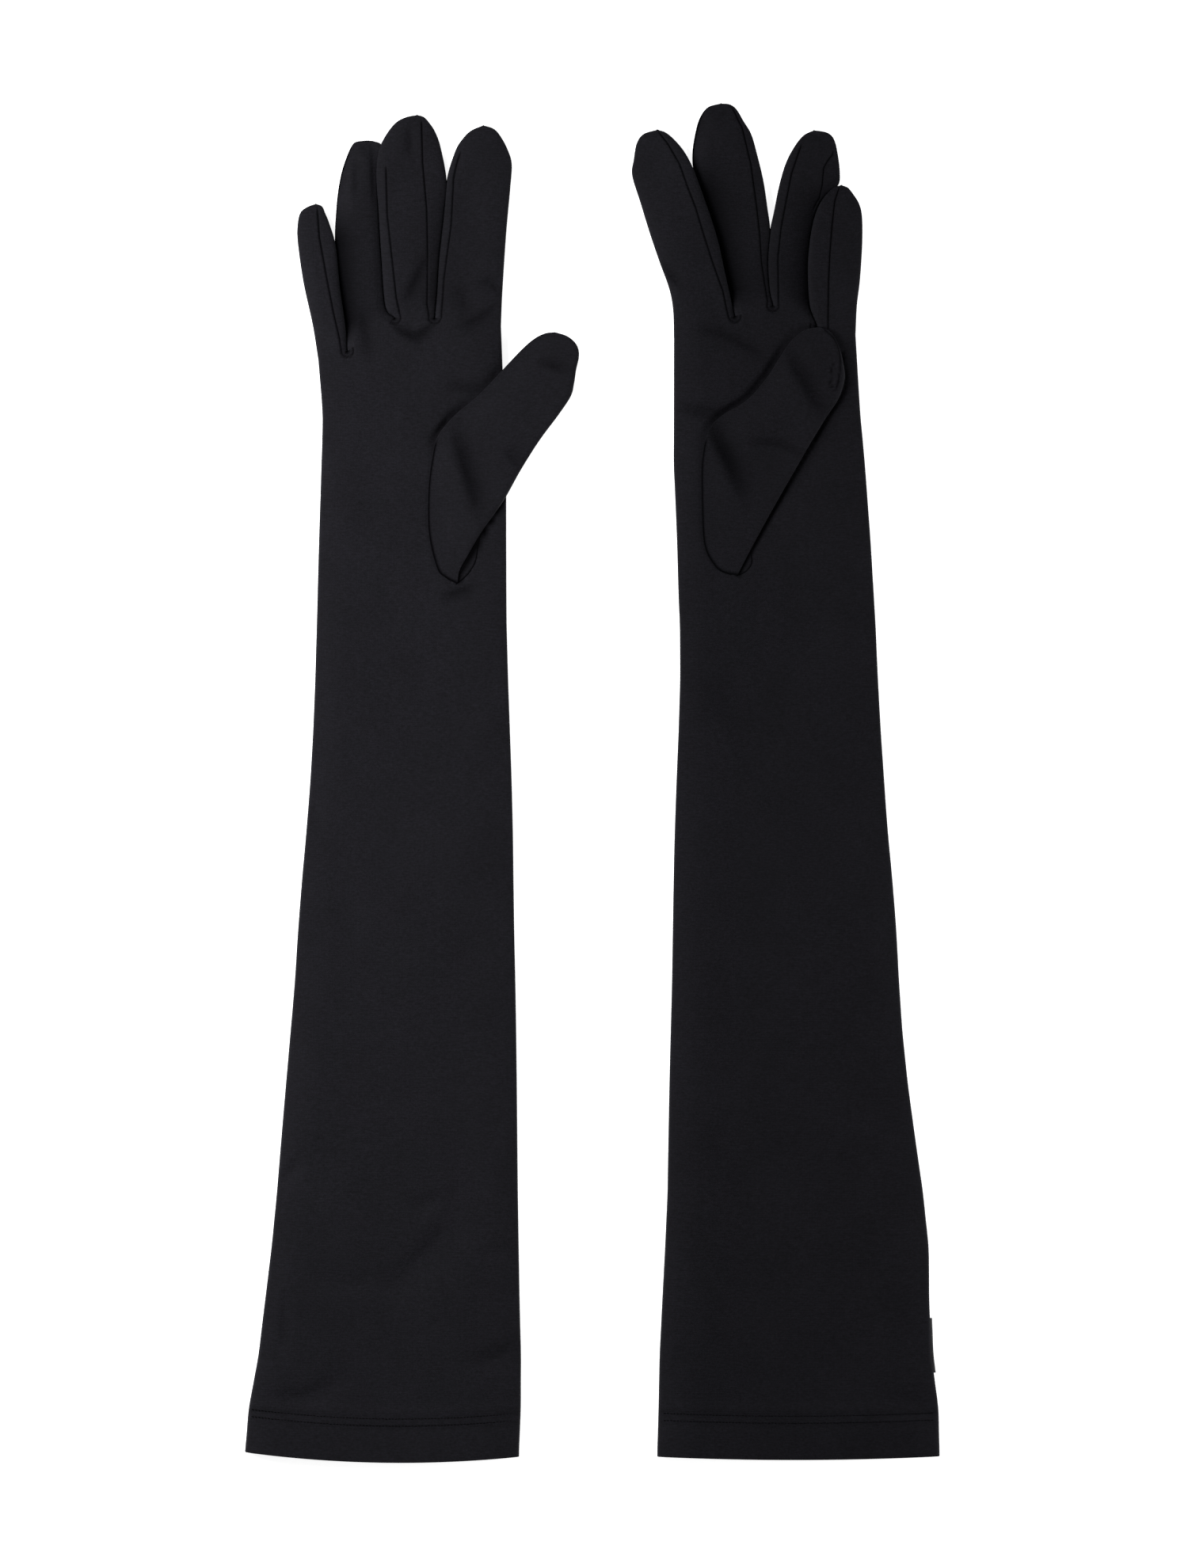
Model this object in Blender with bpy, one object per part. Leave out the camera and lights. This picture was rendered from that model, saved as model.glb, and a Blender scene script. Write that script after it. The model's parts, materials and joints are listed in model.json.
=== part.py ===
"""A pair of opera gloves in stretch jersey, laid flat side by side with the palms up.

Run with: blender --background --python part.py

The frame: +Z up from the surface the gloves rest on, +Y towards the fingertips, +X towards
the left-hand glove. The origin is under the middle of the pair. The lengths below are in
millimetres, and the meshes are made in metres.

Each glove is a flattened tube of thin fabric. It is cut at the lines where it folds (elbow,
wrist, finger roots and thumb root), so that each length can turn on its own fold line. Each
piece hangs from an empty on its fold line.
"""

import math

import bmesh
import bpy
from mathutils import Vector

MM = 0.001

# Driving dimensions
FABRIC = 0.6  # thickness of one layer of jersey
LOFT = 5.6  # height of the hand and the finger roots, as they lie
HEM_LOFT = 8.8  # height at the opening
TIP_LOFT = 2.4  # height at a fingertip
TIP_RISE = 0.15  # share of a fingertip's lost height by which its underside rises
FINGER_TAPER = 4  # power of the share along a finger: it loses height late, near its tip
FINGER_CROWDING = 1.5  # power that brings a finger's rows closer together near its tip
EDGE_ROUND = 4.6  # how far in from a side edge the fabric reaches full height
FOLD_GAP = 0.8  # from a finger, thumb or elbow fold line to the cut end on either side
WRIST_GAP = 2.2  # the same at the wrist, which folds both ways about mid-height
CLEARANCE = 0.35  # between pieces that lie against each other
FINGER_GAP = 0.7  # from the line where two fingers meet to the side of each
STEP_RUN = 1.0  # how far the hand's end moves sideways at a step between fold lines
SLOT_CLEARANCE = 0.8  # round a fourchette, whose inner edges lean towards its slot's

ELBOW_Y = -160.0
WRIST_Y = 74.0
HEM_Y = -299.0
HEM_BOW = 2.0  # the opening's middle hangs this much lower than its corners
HEM_DEPTH = 17.7  # depth of the turned-up hem
HEM_ROWS = {"lower": 15.5, "upper": 18.6}  # the two needle rows, above the opening
HEM_TOP = 21.2  # the sleeve is straight-sided below this
THREAD = 0.45
THREAD_SINK = 0.65  # the needle rows pull the fabric in by this much
SUNK_BAND = (14.4, 15.1, 19.3, 20.0)  # where the pull starts, is full, ends and is gone

SEAM_WIDTH = 4.0  # overlocked seam allowance inside the outer arm seam
SEAM_THICK = 1.3
SEAM_INSET = 2.2

THUMB_REST = LOFT + CLEARANCE  # the thumb lies on the palm
THUMB_LOFT = 4.2
THUMB_TIP_SHARE = 0.55  # height at the thumb's tip, as a share of THUMB_LOFT
THUMB_TAPER = 6  # power of the share along the thumb's outer half, as for a finger
THUMB_HOLE = (9.5, 27.0)  # half width and half length of the opening under the thumb
THUMB_HOLE_LEAN = math.radians(6)
THUMB_HOLE_POINTS = 20
THUMB_MOUTH = (1.6, 4.0)  # points of the thumb's sides between which its base is open below
THUMB_ROWS = 6
THUMB_FOLD_POINT = 5  # the thumb's sides reach its fold line at this point

LABEL_LENGTH = 24.4
LABEL_REACH = 1.0
LABEL_THICK = 0.8
LABEL_Y = -250.0

SIDE_STEPS = 4  # facets round a side edge
LEFT_SLOT = (1, 2)  # the facets of a finger's left side that its fourchette fills
RIGHT_SLOT = (SIDE_STEPS + 3, SIDE_STEPS + 4)
SLEEVE_SPLITS = (0.25, 0.5, 0.75)  # where the flat top and bottom of a sleeve have points
ROW_STEP = 24.0  # longest facet along a sleeve
HAND_ROWS = 4
FINGER_ROWS = 9
NARROW_ROUND = 0.45  # widest rounded edge, as a share of a narrow tube's width
SHARP_ANGLE = math.radians(40)
TIP_ROWS = 2  # rows of a finger beyond the end of its fourchettes
GUSSET_STEP = 6.0

# Each glove: "sleeve" lists (y, x of the left side, x of the right side) up to the knuckles.
# "fingers" lists the left side and the right side of each finger, from its root to its tip.
# "folds" gives the y of each finger's fold line. They all run along X, so that the fingers
# of a hand stay side by side when they fold together.
GLOVES = {
    "right": {
        "outer_side": -1,  # the little finger and the arm seam are on the left side
        "sleeve": [
            (-299, -155.0, -33.2), (-278, -153.2, -32.4), (-265, -150.2, -32.1),
            (-240, -147.2, -32.7), (-213, -143.8, -33.2), (-182, -140.7, -33.7),
            (-150, -138.1, -34.0), (-119, -135.4, -34.3), (-88, -132.7, -34.8),
            (-56, -130.7, -35.5), (-25, -127.9, -35.8), (6, -125.5, -36.6),
            (37, -124.0, -37.7), (66, -123.1, -38.6), (101, -122.2, -38.9),
            (133, -121.2, -38.7), (156, -120.1, -39.4), (180, -121.5, -40.3),
            (190, -122.2, -40.8), (206, -125.5, -41.0),
        ],
        "fingers": {
            "little": (
                [(-122.0, 188.0), (-125.1, 205.5), (-128.3, 226.5), (-130.6, 243.0),
                 (-129.3, 251.8), (-124.0, 255.2)],
                [(-108.7, 188.0), (-109.4, 206.0), (-113.2, 229.0), (-116.6, 246.0),
                 (-119.0, 252.8), (-121.5, 255.2)],
            ),
            "ring": (
                [(-108.7, 188.0), (-109.4, 206.0), (-113.2, 229.0), (-113.9, 248.0),
                 (-111.8, 266.0), (-105.8, 281.4), (-102.0, 282.6)],
                [(-86.9, 200.0), (-91.5, 218.0), (-94.8, 240.0), (-95.3, 262.0),
                 (-94.6, 276.0), (-95.6, 281.4), (-98.0, 282.6)],
            ),
            "middle": (
                [(-86.9, 200.0), (-91.5, 218.0), (-94.8, 240.0), (-95.3, 262.0),
                 (-93.6, 278.0), (-88.8, 291.0), (-80.0, 296.0)],
                [(-70.6, 200.0), (-69.0, 222.0), (-66.8, 243.0), (-65.0, 267.0),
                 (-67.2, 280.0), (-71.6, 290.5), (-76.5, 296.0)],
            ),
            "index": (
                [(-70.6, 200.0), (-69.0, 222.0), (-66.8, 243.0), (-65.0, 267.0),
                 (-60.7, 279.0), (-54.5, 287.4), (-49.5, 289.8)],
                [(-40.8, 200.0), (-39.6, 232.0), (-37.8, 255.0), (-36.2, 273.4),
                 (-38.4, 280.5), (-41.8, 286.2), (-46.8, 289.6)],
            ),
        },
        "folds": {"little": 191.5, "ring": 207.0, "middle": 207.3, "index": 207.3},
        "thumb": (
            [(-60.6, 88.4), (-67.6, 93.4), (-72.0, 102.4), (-73.6, 120.0), (-72.4, 137.0),
             (-68.8, 153.3), (-60.4, 163.8), (-48.5, 174.3), (-33.4, 189.0),
             (-23.4, 197.6), (-15.0, 198.8)],
            [(-59.0, 88.8), (-55.6, 98.0), (-51.4, 105.4), (-46.8, 113.2), (-40.8, 122.4),
             (-34.7, 131.7), (-27.4, 145.2), (-17.6, 159.6), (-9.0, 171.8),
             (-6.6, 189.0), (-12.0, 197.8)],
        ),
        "thumb_hole": (-62.6, 121.5),
    },
    "left": {
        "outer_side": 1,
        "sleeve": [
            (-299, 28.3, 153.8), (-278, 28.9, 153.2), (-263, 29.1, 151.0),
            (-240, 30.1, 149.2), (-213, 31.5, 149.3), (-182, 32.9, 146.4),
            (-150, 33.4, 141.8), (-119, 34.1, 138.0), (-88, 34.9, 135.7),
            (-56, 35.4, 134.0), (-25, 36.0, 131.0), (6, 37.1, 128.8),
            (37, 38.3, 126.8), (66, 38.6, 125.6), (82, 37.7, 124.6),
            (101, 37.6, 123.4), (121, 36.2, 122.4), (140, 35.7, 120.7),
            (156, 35.6, 118.9), (172, 35.7, 117.9), (188, 36.1, 116.8),
            (206, 35.6, 117.2),
        ],
        "fingers": {
            "index": (
                [(35.8, 195.0), (33.6, 215.5), (27.9, 230.0), (22.6, 250.0), (17.3, 266.5),
                 (18.4, 280.0), (21.4, 285.2), (26.8, 287.5)],
                [(64.4, 200.0), (60.2, 219.0), (55.4, 240.0), (49.0, 258.0), (42.9, 273.4),
                 (37.6, 281.2), (33.6, 285.2), (29.2, 287.5)],
            ),
            "middle": (
                [(64.4, 200.0), (60.2, 219.0), (55.4, 240.0), (49.0, 258.0), (44.2, 271.5),
                 (44.6, 284.5), (48.4, 295.6), (54.4, 301.0)],
                [(79.4, 203.0), (77.4, 222.0), (76.6, 240.0), (75.0, 262.0), (72.0, 278.0),
                 (68.6, 289.0), (64.8, 297.0), (59.4, 301.0)],
            ),
            "ring": (
                [(79.4, 203.0), (77.4, 222.0), (76.6, 240.0), (76.6, 252.0), (80.6, 261.0),
                 (85.4, 273.0), (91.0, 283.8), (96.4, 287.2)],
                [(98.8, 199.0), (95.4, 217.0), (95.6, 238.0), (97.8, 251.4), (101.0, 260.6),
                 (107.4, 268.4), (105.8, 281.6), (101.4, 287.0)],
            ),
            "little": (
                [(98.8, 199.0), (95.4, 217.0), (95.6, 238.0), (98.2, 251.4), (102.6, 259.8),
                 (107.8, 263.0)],
                [(116.2, 197.0), (118.2, 223.0), (118.9, 241.0), (117.6, 253.8),
                 (114.8, 260.2), (111.0, 263.0)],
            ),
        },
        "folds": {"index": 209.5, "middle": 212.5, "ring": 212.5, "little": 203.5},
        "thumb": (
            [(61.0, 90.0), (54.2, 93.4), (49.6, 102.4), (47.8, 120.0), (48.2, 140.0),
             (53.8, 160.2), (65.3, 166.8), (78.9, 181.4), (87.3, 193.4),
             (93.6, 198.2), (99.2, 199.7)],
            [(63.6, 90.4), (67.4, 99.6), (72.0, 108.0), (77.4, 118.0), (83.4, 128.4),
             (89.1, 137.9), (96.0, 149.8), (104.2, 163.4), (110.6, 177.0),
             (110.2, 190.0), (103.6, 199.2)],
        ),
        "thumb_hole": (59.4, 122.5),
    },
}

# Material name, colour and roughness
JERSEY = ("black_jersey", (0.012, 0.012, 0.015), 0.85)
JERSEY_INSIDE = ("black_jersey_inside", (0.015, 0.015, 0.018), 0.9)
SEWING_THREAD = ("black_thread", (0.008, 0.008, 0.010), 0.6)
LABEL_TAPE = ("black_label_tape", (0.018, 0.018, 0.020), 0.5)


# --- Scene, materials and sheets ---------------------------------------------------------


def clear_scene():
    for obj in list(bpy.data.objects):
        bpy.data.objects.remove(obj, do_unlink=True)


def material(spec):
    name, colour, roughness = spec
    found = bpy.data.materials.get(name)
    if found:
        return found
    made = bpy.data.materials.new(name)
    made.use_nodes = True
    shader = made.node_tree.nodes["Principled BSDF"]
    shader.inputs["Base Color"].default_value = (*colour, 1.0)
    shader.inputs["Roughness"].default_value = roughness
    shader.inputs["Metallic"].default_value = 0.0
    return made


def fold_empty(name, place, parent=None):
    """An empty on a fold line. A piece parented to it turns about that line."""
    empty = bpy.data.objects.new(name, None)
    empty.empty_display_size = 0.02
    bpy.context.scene.collection.objects.link(empty)
    empty.parent = parent
    world = Vector(place) * MM
    empty.location = world - parent.matrix_world.translation if parent else world
    bpy.context.view_layer.update()
    return empty


def make_object(name, verts, faces, spec, pivot):
    """An object from points in millimetres, with its origin at its pivot."""
    origin = pivot.matrix_world.translation
    mesh = bpy.data.meshes.new(name)
    mesh.from_pydata([v * MM - origin for v in verts], [], faces)
    mesh.shade_smooth()
    mesh.set_sharp_from_angle(angle=SHARP_ANGLE)
    mesh.materials.append(material(spec))
    obj = bpy.data.objects.new(name, mesh)
    bpy.context.scene.collection.objects.link(obj)
    obj.parent = pivot
    return obj


def sheet(name, rows, spec, pivot, thickness=FABRIC, looped=True, capped=False, missing=()):
    """A sheet of fabric through these rows of points, thickened inwards.

    looped joins the ends of each row. capped closes the last row. missing holds the
    (row, column) cells that stay open, as a slot does.
    """
    columns = len(rows[0])
    steps = columns if looped else columns - 1

    def index(row, column):
        return row * columns + column % columns

    faces = [
        [index(r, c), index(r, c + 1), index(r + 1, c + 1), index(r + 1, c)]
        for r in range(len(rows) - 1)
        for c in range(steps)
        if (r, c) not in missing
    ]
    if capped:
        faces.append([index(len(rows) - 1, c) for c in range(columns)])
    obj = make_object(name, [v for row in rows for v in row], faces, spec, pivot)
    fabric = obj.modifiers.new("fabric", "SOLIDIFY")
    fabric.thickness = thickness * MM
    fabric.offset = -1.0
    fabric.use_even_offset = True
    return obj


def prism(name, outline, low, high, pivot):
    """A closed upright prism, used as a cutter."""
    mesh = bpy.data.meshes.new(name)
    origin = pivot.matrix_world.translation
    solid = bmesh.new()
    base = [solid.verts.new(Vector((x, y, low)) * MM - origin) for x, y in outline]
    face = solid.faces.new(base)
    top = bmesh.ops.extrude_face_region(solid, geom=[face])
    raised = [item for item in top["geom"] if isinstance(item, bmesh.types.BMVert)]
    bmesh.ops.translate(solid, verts=raised, vec=(0.0, 0.0, (high - low) * MM))
    bmesh.ops.recalc_face_normals(solid, faces=solid.faces)
    solid.to_mesh(mesh)
    solid.free()
    cutter = bpy.data.objects.new(name, mesh)
    bpy.context.scene.collection.objects.link(cutter)
    cutter.parent = pivot
    cutter.hide_render = True
    cutter.display_type = "WIRE"
    return cutter


def cut(obj, cutter):
    opening = obj.modifiers.new("opening", "BOOLEAN")
    opening.operation = "DIFFERENCE"
    opening.solver = "EXACT"
    opening.object = cutter


# --- Curves and rows ---------------------------------------------------------------------


def mix(a, b, t):
    return a + (b - a) * t


def even_steps(start, stop, longest):
    count = max(1, math.ceil(abs(stop - start) / longest))
    return [mix(start, stop, i / count) for i in range(count + 1)]


def spline_point(points, t):
    """Catmull-Rom curve through the points, for t from 0 to the last point's number."""
    last = len(points) - 1
    i = min(int(t), last - 1)
    u = t - i
    p0 = points[max(i - 1, 0)]
    p1, p2 = points[i], points[i + 1]
    p3 = points[min(i + 2, last)]
    return tuple(
        0.5 * (2 * b + (c - a) * u + (2 * a - 5 * b + 4 * c - d) * u * u
               + (3 * b - a - 3 * c + d) * u ** 3)
        for a, b, c, d in zip(p0, p1, p2, p3)
    )


def share_at_y(side, y):
    """The spline parameter at which a side that starts below y reaches it."""
    low, high = 0.0, 2.0
    for _ in range(30):
        middle = (low + high) / 2
        if spline_point(side, middle)[1] < y:
            low = middle
        else:
            high = middle
    return high


def oval_ring(across, z_low, height, splits, sunk=0.0):
    """One closed loop round a flattened tube.

    across(t) is the (x, y) at share t from the left side to the right side. splits are the
    shares where the flat top and bottom have points between the rounded sides. sunk draws
    the whole loop in.
    """
    width = (Vector(across(1.0)) - Vector(across(0.0))).length
    edge = min(EDGE_ROUND, width * NARROW_ROUND)
    half = height / 2
    middle = z_low + half

    def point(distance, z):
        x, y = across(distance / width)
        return Vector((x, y, z))

    def side(angle):
        """Distance in from the side, and height, at this angle up from the outermost point."""
        reach = edge - sunk
        return edge - reach * math.cos(angle), middle + (half - sunk) * math.sin(angle)

    angles = [math.pi * (i / SIDE_STEPS - 0.5) for i in range(SIDE_STEPS + 1)]
    left_side = [point(*side(a)) for a in angles]
    top = [point(s * width, middle + half - sunk) for s in splits]
    right_side = [point(width - side(a)[0], side(a)[1]) for a in reversed(angles)]
    bottom = [point(s * width, middle - half + sunk) for s in reversed(splits)]
    return left_side + top + right_side + bottom


def sides_at(glove, y):
    """The x of the left and right side of the sleeve or hand at this y."""
    stations = glove["sleeve"]
    for i, (low, high) in enumerate(zip(stations, stations[1:])):
        if y <= high[0]:
            break
    t = i + (y - low[0]) / (high[0] - low[0])
    _, left, right = spline_point(stations, t)
    return left, right


def loft_at(y):
    """Height of the sleeve: it opens a little towards the hem."""
    return mix(LOFT, HEM_LOFT, max(0.0, (WRIST_Y - y) / (WRIST_Y - HEM_Y)))


def sleeve_ring(glove, y):
    """A level ring round the sleeve."""
    left, right = sides_at(glove, y)
    return oval_ring(lambda t: (mix(left, right, t), y), 0.0, loft_at(y), SLEEVE_SPLITS)


def hem_ring(glove, height, sunk=0.0):
    """A ring within the hem, at this height above the opening, with the opening's bow."""
    share = height / HEM_TOP
    low, high = sides_at(glove, HEM_Y), sides_at(glove, HEM_Y + HEM_TOP)
    left, right = (mix(a, b, share) for a, b in zip(low, high))
    bow = HEM_BOW * (1 - share)
    y = HEM_Y + height

    def across(t):
        return mix(left, right, t), y - bow * (1 - (2 * t - 1) ** 2)

    return oval_ring(across, 0.0, loft_at(y), SLEEVE_SPLITS, sunk)


# --- Sleeve, seams, hem and label --------------------------------------------------------


def upper_sleeve(side, glove, pivot):
    hem = [hem_ring(glove, 0.0)]
    for height, sunk in zip(SUNK_BAND, (0.0, THREAD_SINK, THREAD_SINK, 0.0)):
        hem.append(hem_ring(glove, height, sunk))
    ys = even_steps(HEM_Y + HEM_TOP, ELBOW_Y - FOLD_GAP, ROW_STEP)
    sheet(f"{side}_upper_sleeve", hem + [sleeve_ring(glove, y) for y in ys], JERSEY, pivot)


def forearm_sleeve(side, glove, pivot):
    ys = even_steps(ELBOW_Y + FOLD_GAP, WRIST_Y - WRIST_GAP, ROW_STEP)
    sheet(f"{side}_forearm_sleeve", [sleeve_ring(glove, y) for y in ys], JERSEY, pivot)


def hem_turn_up(side, glove, pivot):
    """The folded-in edge of the sleeve, lying inside its mouth."""
    sunk = FABRIC + CLEARANCE + THREAD_SINK
    rings = [hem_ring(glove, height, sunk) for height in (CLEARANCE, HEM_DEPTH)]
    sheet(f"{side}_hem_turn_up", rings, JERSEY_INSIDE, pivot)


def needle_row(side, glove, name, height, pivot):
    """One needle thread round the sleeve, level with the fabric on either side."""
    rings = [hem_ring(glove, h) for h in (height, height + THREAD)]
    sheet(f"{side}_hem_thread_{name}", rings, SEWING_THREAD, pivot, thickness=THREAD)


def edge_strip(name, glove, ys, near, far, thickness, spec, pivot):
    """A flat strip along the outer edge, from near to far inside it (negative is outside)."""
    sign = glove["outer_side"]
    rows = []
    for y in ys:
        edge = sides_at(glove, y)[0 if sign < 0 else 1]
        ends = sorted((edge - sign * near, edge - sign * far))
        z = (loft_at(y) + thickness) / 2
        rows.append([Vector((x, y, z)) for x in ends])
    sheet(name, rows, spec, pivot, thickness=thickness, looped=False)


def arm_seam(name, glove, ys, pivot):
    """The overlocked seam allowance that runs inside the outer edge."""
    far = SEAM_INSET + SEAM_WIDTH
    edge_strip(name, glove, ys, SEAM_INSET, far, SEAM_THICK, SEWING_THREAD, pivot)


def side_label(side, glove, pivot):
    """A blank folded tab sewn into the outer seam above the hem."""
    half = LABEL_LENGTH / 2
    ys = even_steps(LABEL_Y - half, LABEL_Y + half, half)
    far = -CLEARANCE - LABEL_REACH
    name = f"{side}_side_label"
    edge_strip(name, glove, ys, -CLEARANCE, far, LABEL_THICK, LABEL_TAPE, pivot)


# --- Hand --------------------------------------------------------------------------------


def finger_order(glove):
    """Finger names from the left side to the right side."""
    return list(glove["fingers"])


def crotch_shares(glove):
    """Shares across the hand at each crotch, at the foot and the top of the step there.

    The step stands on the side of the finger whose fold line is higher, clear of the other.
    """
    order = finger_order(glove)
    shares = []
    for finger, neighbour in zip(order, order[1:]):
        right_side = glove["fingers"][finger][1]
        y, neighbour_y = glove["folds"][finger], glove["folds"][neighbour]
        x = spline_point(right_side, share_at_y(right_side, y))[0]
        x += FINGER_GAP if neighbour_y > y else -FINGER_GAP
        left, right = sides_at(glove, y)
        shares += [(x + half - left) / (right - left) for half in (-STEP_RUN / 2, STEP_RUN / 2)]
    return shares


def hand_end(glove):
    """y of the hand's far end at share t: along the fold lines, stepping between them."""
    shares = [0.0, *crotch_shares(glove), 1.0]
    heights = [glove["folds"][finger] for finger in finger_order(glove) for _ in range(2)]
    knots = list(zip(shares, heights))

    def end(t):
        for (t0, y0), (t1, y1) in zip(knots, knots[1:]):
            if t <= t1:
                break
        return mix(y0, y1, (t - t0) / (t1 - t0)) - FOLD_GAP

    return end


def hand(side, glove, pivot):
    start = WRIST_Y + WRIST_GAP
    end = hand_end(glove)
    splits = crotch_shares(glove)

    def hand_row(share):
        def across(t):
            y = mix(start, end(t), share)
            left, right = sides_at(glove, y)
            return mix(left, right, t), y

        return across

    rows = [oval_ring(hand_row(i / HAND_ROWS), 0.0, LOFT, splits) for i in range(HAND_ROWS + 1)]
    palm = sheet(f"{side}_hand", rows, JERSEY, pivot)
    cut(palm, thumb_hole(side, glove, pivot))


def thumb_hole(side, glove, pivot):
    """Cuts the oval in the palm through which the thumb opens."""
    x, y = glove["thumb_hole"]
    half_width, half_length = THUMB_HOLE
    outline = []
    for i in range(THUMB_HOLE_POINTS):
        angle = 2 * math.pi * i / THUMB_HOLE_POINTS
        u, v = half_width * math.cos(angle), half_length * math.sin(angle)
        lean_cos, lean_sin = math.cos(THUMB_HOLE_LEAN), math.sin(THUMB_HOLE_LEAN)
        outline.append((x + u * lean_cos + v * lean_sin, y + v * lean_cos - u * lean_sin))
    return prism(f"{side}_thumb_hole_cutter", outline, LOFT / 2, LOFT * 2, pivot)


def hand_seam(side, glove, pivot):
    outer_finger = finger_order(glove)[0 if glove["outer_side"] < 0 else -1]
    start = WRIST_Y + WRIST_GAP
    end = glove["folds"][outer_finger] - FOLD_GAP
    ys = even_steps(start, end, (end - start) / HAND_ROWS)
    arm_seam(f"{side}_hand_seam", glove, ys, pivot)


def little_finger_gusset_root(side, glove, pivot):
    """Gusset between the little finger's crotch and the next fold line, which is higher."""
    sign = -glove["outer_side"]
    ring_side = glove["fingers"]["ring"][0 if sign > 0 else 1]
    low = glove["folds"]["little"] + 2 * CLEARANCE
    high = glove["folds"]["ring"] - FOLD_GAP - CLEARANCE
    inset = FABRIC + CLEARANCE
    heights = [inset, LOFT / 2, LOFT - inset]
    rows = []
    for y in even_steps(low, high, GUSSET_STEP):
        x = spline_point(ring_side, share_at_y(ring_side, y))[0]
        x += sign * (FINGER_GAP + CLEARANCE)
        rows.append([Vector((x, y, z)) for z in (heights if sign > 0 else reversed(heights))])
    sheet(f"{side}_little_finger_gusset_root", rows, JERSEY, pivot, looped=False)


# --- Fingers and fourchettes -------------------------------------------------------------


def finger_rings(glove, finger):
    """Rings along a finger from its fold line to its tip."""
    order = finger_order(glove)
    sides = glove["fingers"][finger]
    neighbours = (finger != order[0], finger != order[-1])
    starts = [share_at_y(side, glove["folds"][finger] + FOLD_GAP) for side in sides]
    rings = []
    for i in range(FINGER_ROWS + 1):
        share = 1 - (1 - i / FINGER_ROWS) ** FINGER_CROWDING
        ends = []
        for side, start, sign, shared in zip(sides, starts, (1, -1), neighbours):
            x, y = spline_point(side, mix(start, len(side) - 1, share))
            ends.append(Vector((x + sign * FINGER_GAP * shared, y)))
        height = mix(LOFT, TIP_LOFT, share ** FINGER_TAPER)
        z_low = TIP_RISE * (LOFT - height)
        rings.append(oval_ring(lambda t: ends[0].lerp(ends[1], t), z_low, height, (0.5,)))
    return rings


def finger_with_fourchettes(side, glove, finger, pivot):
    """A finger with a slot in each side that faces another finger, and the strips there."""
    rings = finger_rings(glove, finger)
    order = finger_order(glove)
    slot_end = FINGER_ROWS - TIP_ROWS
    missing = set()
    for facets, neighbour, place in (
        (LEFT_SLOT, finger != order[0], "left_side"),
        (RIGHT_SLOT, finger != order[-1], "right_side"),
    ):
        if neighbour:
            missing |= {(row, facet) for row in range(slot_end) for facet in facets}
            fourchette(f"{side}_{finger}_fourchette_{place}", rings, slot_end, facets, pivot)
    sheet(f"{side}_{finger}_finger", rings, JERSEY, pivot, capped=True, missing=missing)


def fourchette(name, rings, slot_end, facets, pivot):
    """The gusset strip along the side of a finger, a little smaller than its slot."""
    rows = []
    for ring in rings[:slot_end + 1]:
        first, middle, last = (ring[c] for c in (*facets, facets[-1] + 1))
        rows.append([
            first + (middle - first).normalized() * SLOT_CLEARANCE,
            middle,
            last + (middle - last).normalized() * SLOT_CLEARANCE,
        ])
    back = (rows[-2][1] - rows[-1][1]).normalized() * SLOT_CLEARANCE
    rows[-1] = [point + back for point in rows[-1]]
    sheet(name, rows, JERSEY, pivot, looped=False)


# --- Thumb -------------------------------------------------------------------------------


def thumb_fold(glove):
    """The two ends of the thumb's fold line."""
    return [Vector(side[THUMB_FOLD_POINT]) for side in glove["thumb"]]


def thumb_rings(glove, stop):
    """Rings along the thumb from its fold line to this point of its sides."""
    left, right = thumb_fold(glove)
    axis = (right - left).normalized()
    away = Vector((-axis.y, axis.x)) * (1 if stop > THUMB_FOLD_POINT else -1)
    last = len(glove["thumb"][0]) - 1
    rings = []
    for i in range(THUMB_ROWS + 1):
        t = mix(THUMB_FOLD_POINT, stop, i / THUMB_ROWS)
        ends = [Vector(spline_point(side, t)) for side in glove["thumb"]]
        if i == 0:
            ends = [end + away * FOLD_GAP for end in ends]
        beyond = max(0.0, 2 * t / last - 1)
        height = THUMB_LOFT * mix(1.0, THUMB_TIP_SHARE, beyond ** THUMB_TAPER)
        rings.append(
            oval_ring(lambda s: ends[0].lerp(ends[1], s), THUMB_REST, height, (0.5,))
        )
    return rings


def thumb_base(side, glove, pivot):
    rings = thumb_rings(glove, 0.0)
    mirrored = [[ring[0], *reversed(ring[1:])] for ring in rings]
    base = sheet(f"{side}_thumb_base", mirrored, JERSEY, pivot, capped=True)
    left, right = glove["thumb"]
    low, high = (
        (Vector(spline_point(left, t)) + Vector(spline_point(right, t))) / 2 for t in THUMB_MOUTH
    )
    along = (high - low).normalized()
    across = Vector((along.y, -along.x)) * THUMB_HOLE[0] / 2
    outline = [low - across / 2, low + across / 2, high + across, high - across]
    middle = THUMB_REST + THUMB_LOFT / 2
    name = f"{side}_thumb_base_cutter"
    cut(base, prism(name, outline, THUMB_REST - CLEARANCE, middle, pivot))


def thumb_stall(side, glove, pivot):
    rings = thumb_rings(glove, len(glove["thumb"][0]) - 1)
    sheet(f"{side}_thumb_stall", rings, JERSEY, pivot, capped=True)


# --- Assembly ----------------------------------------------------------------------------


def on_middle_line(glove, y, z):
    return sum(sides_at(glove, y)) / 2, y, z


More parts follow.
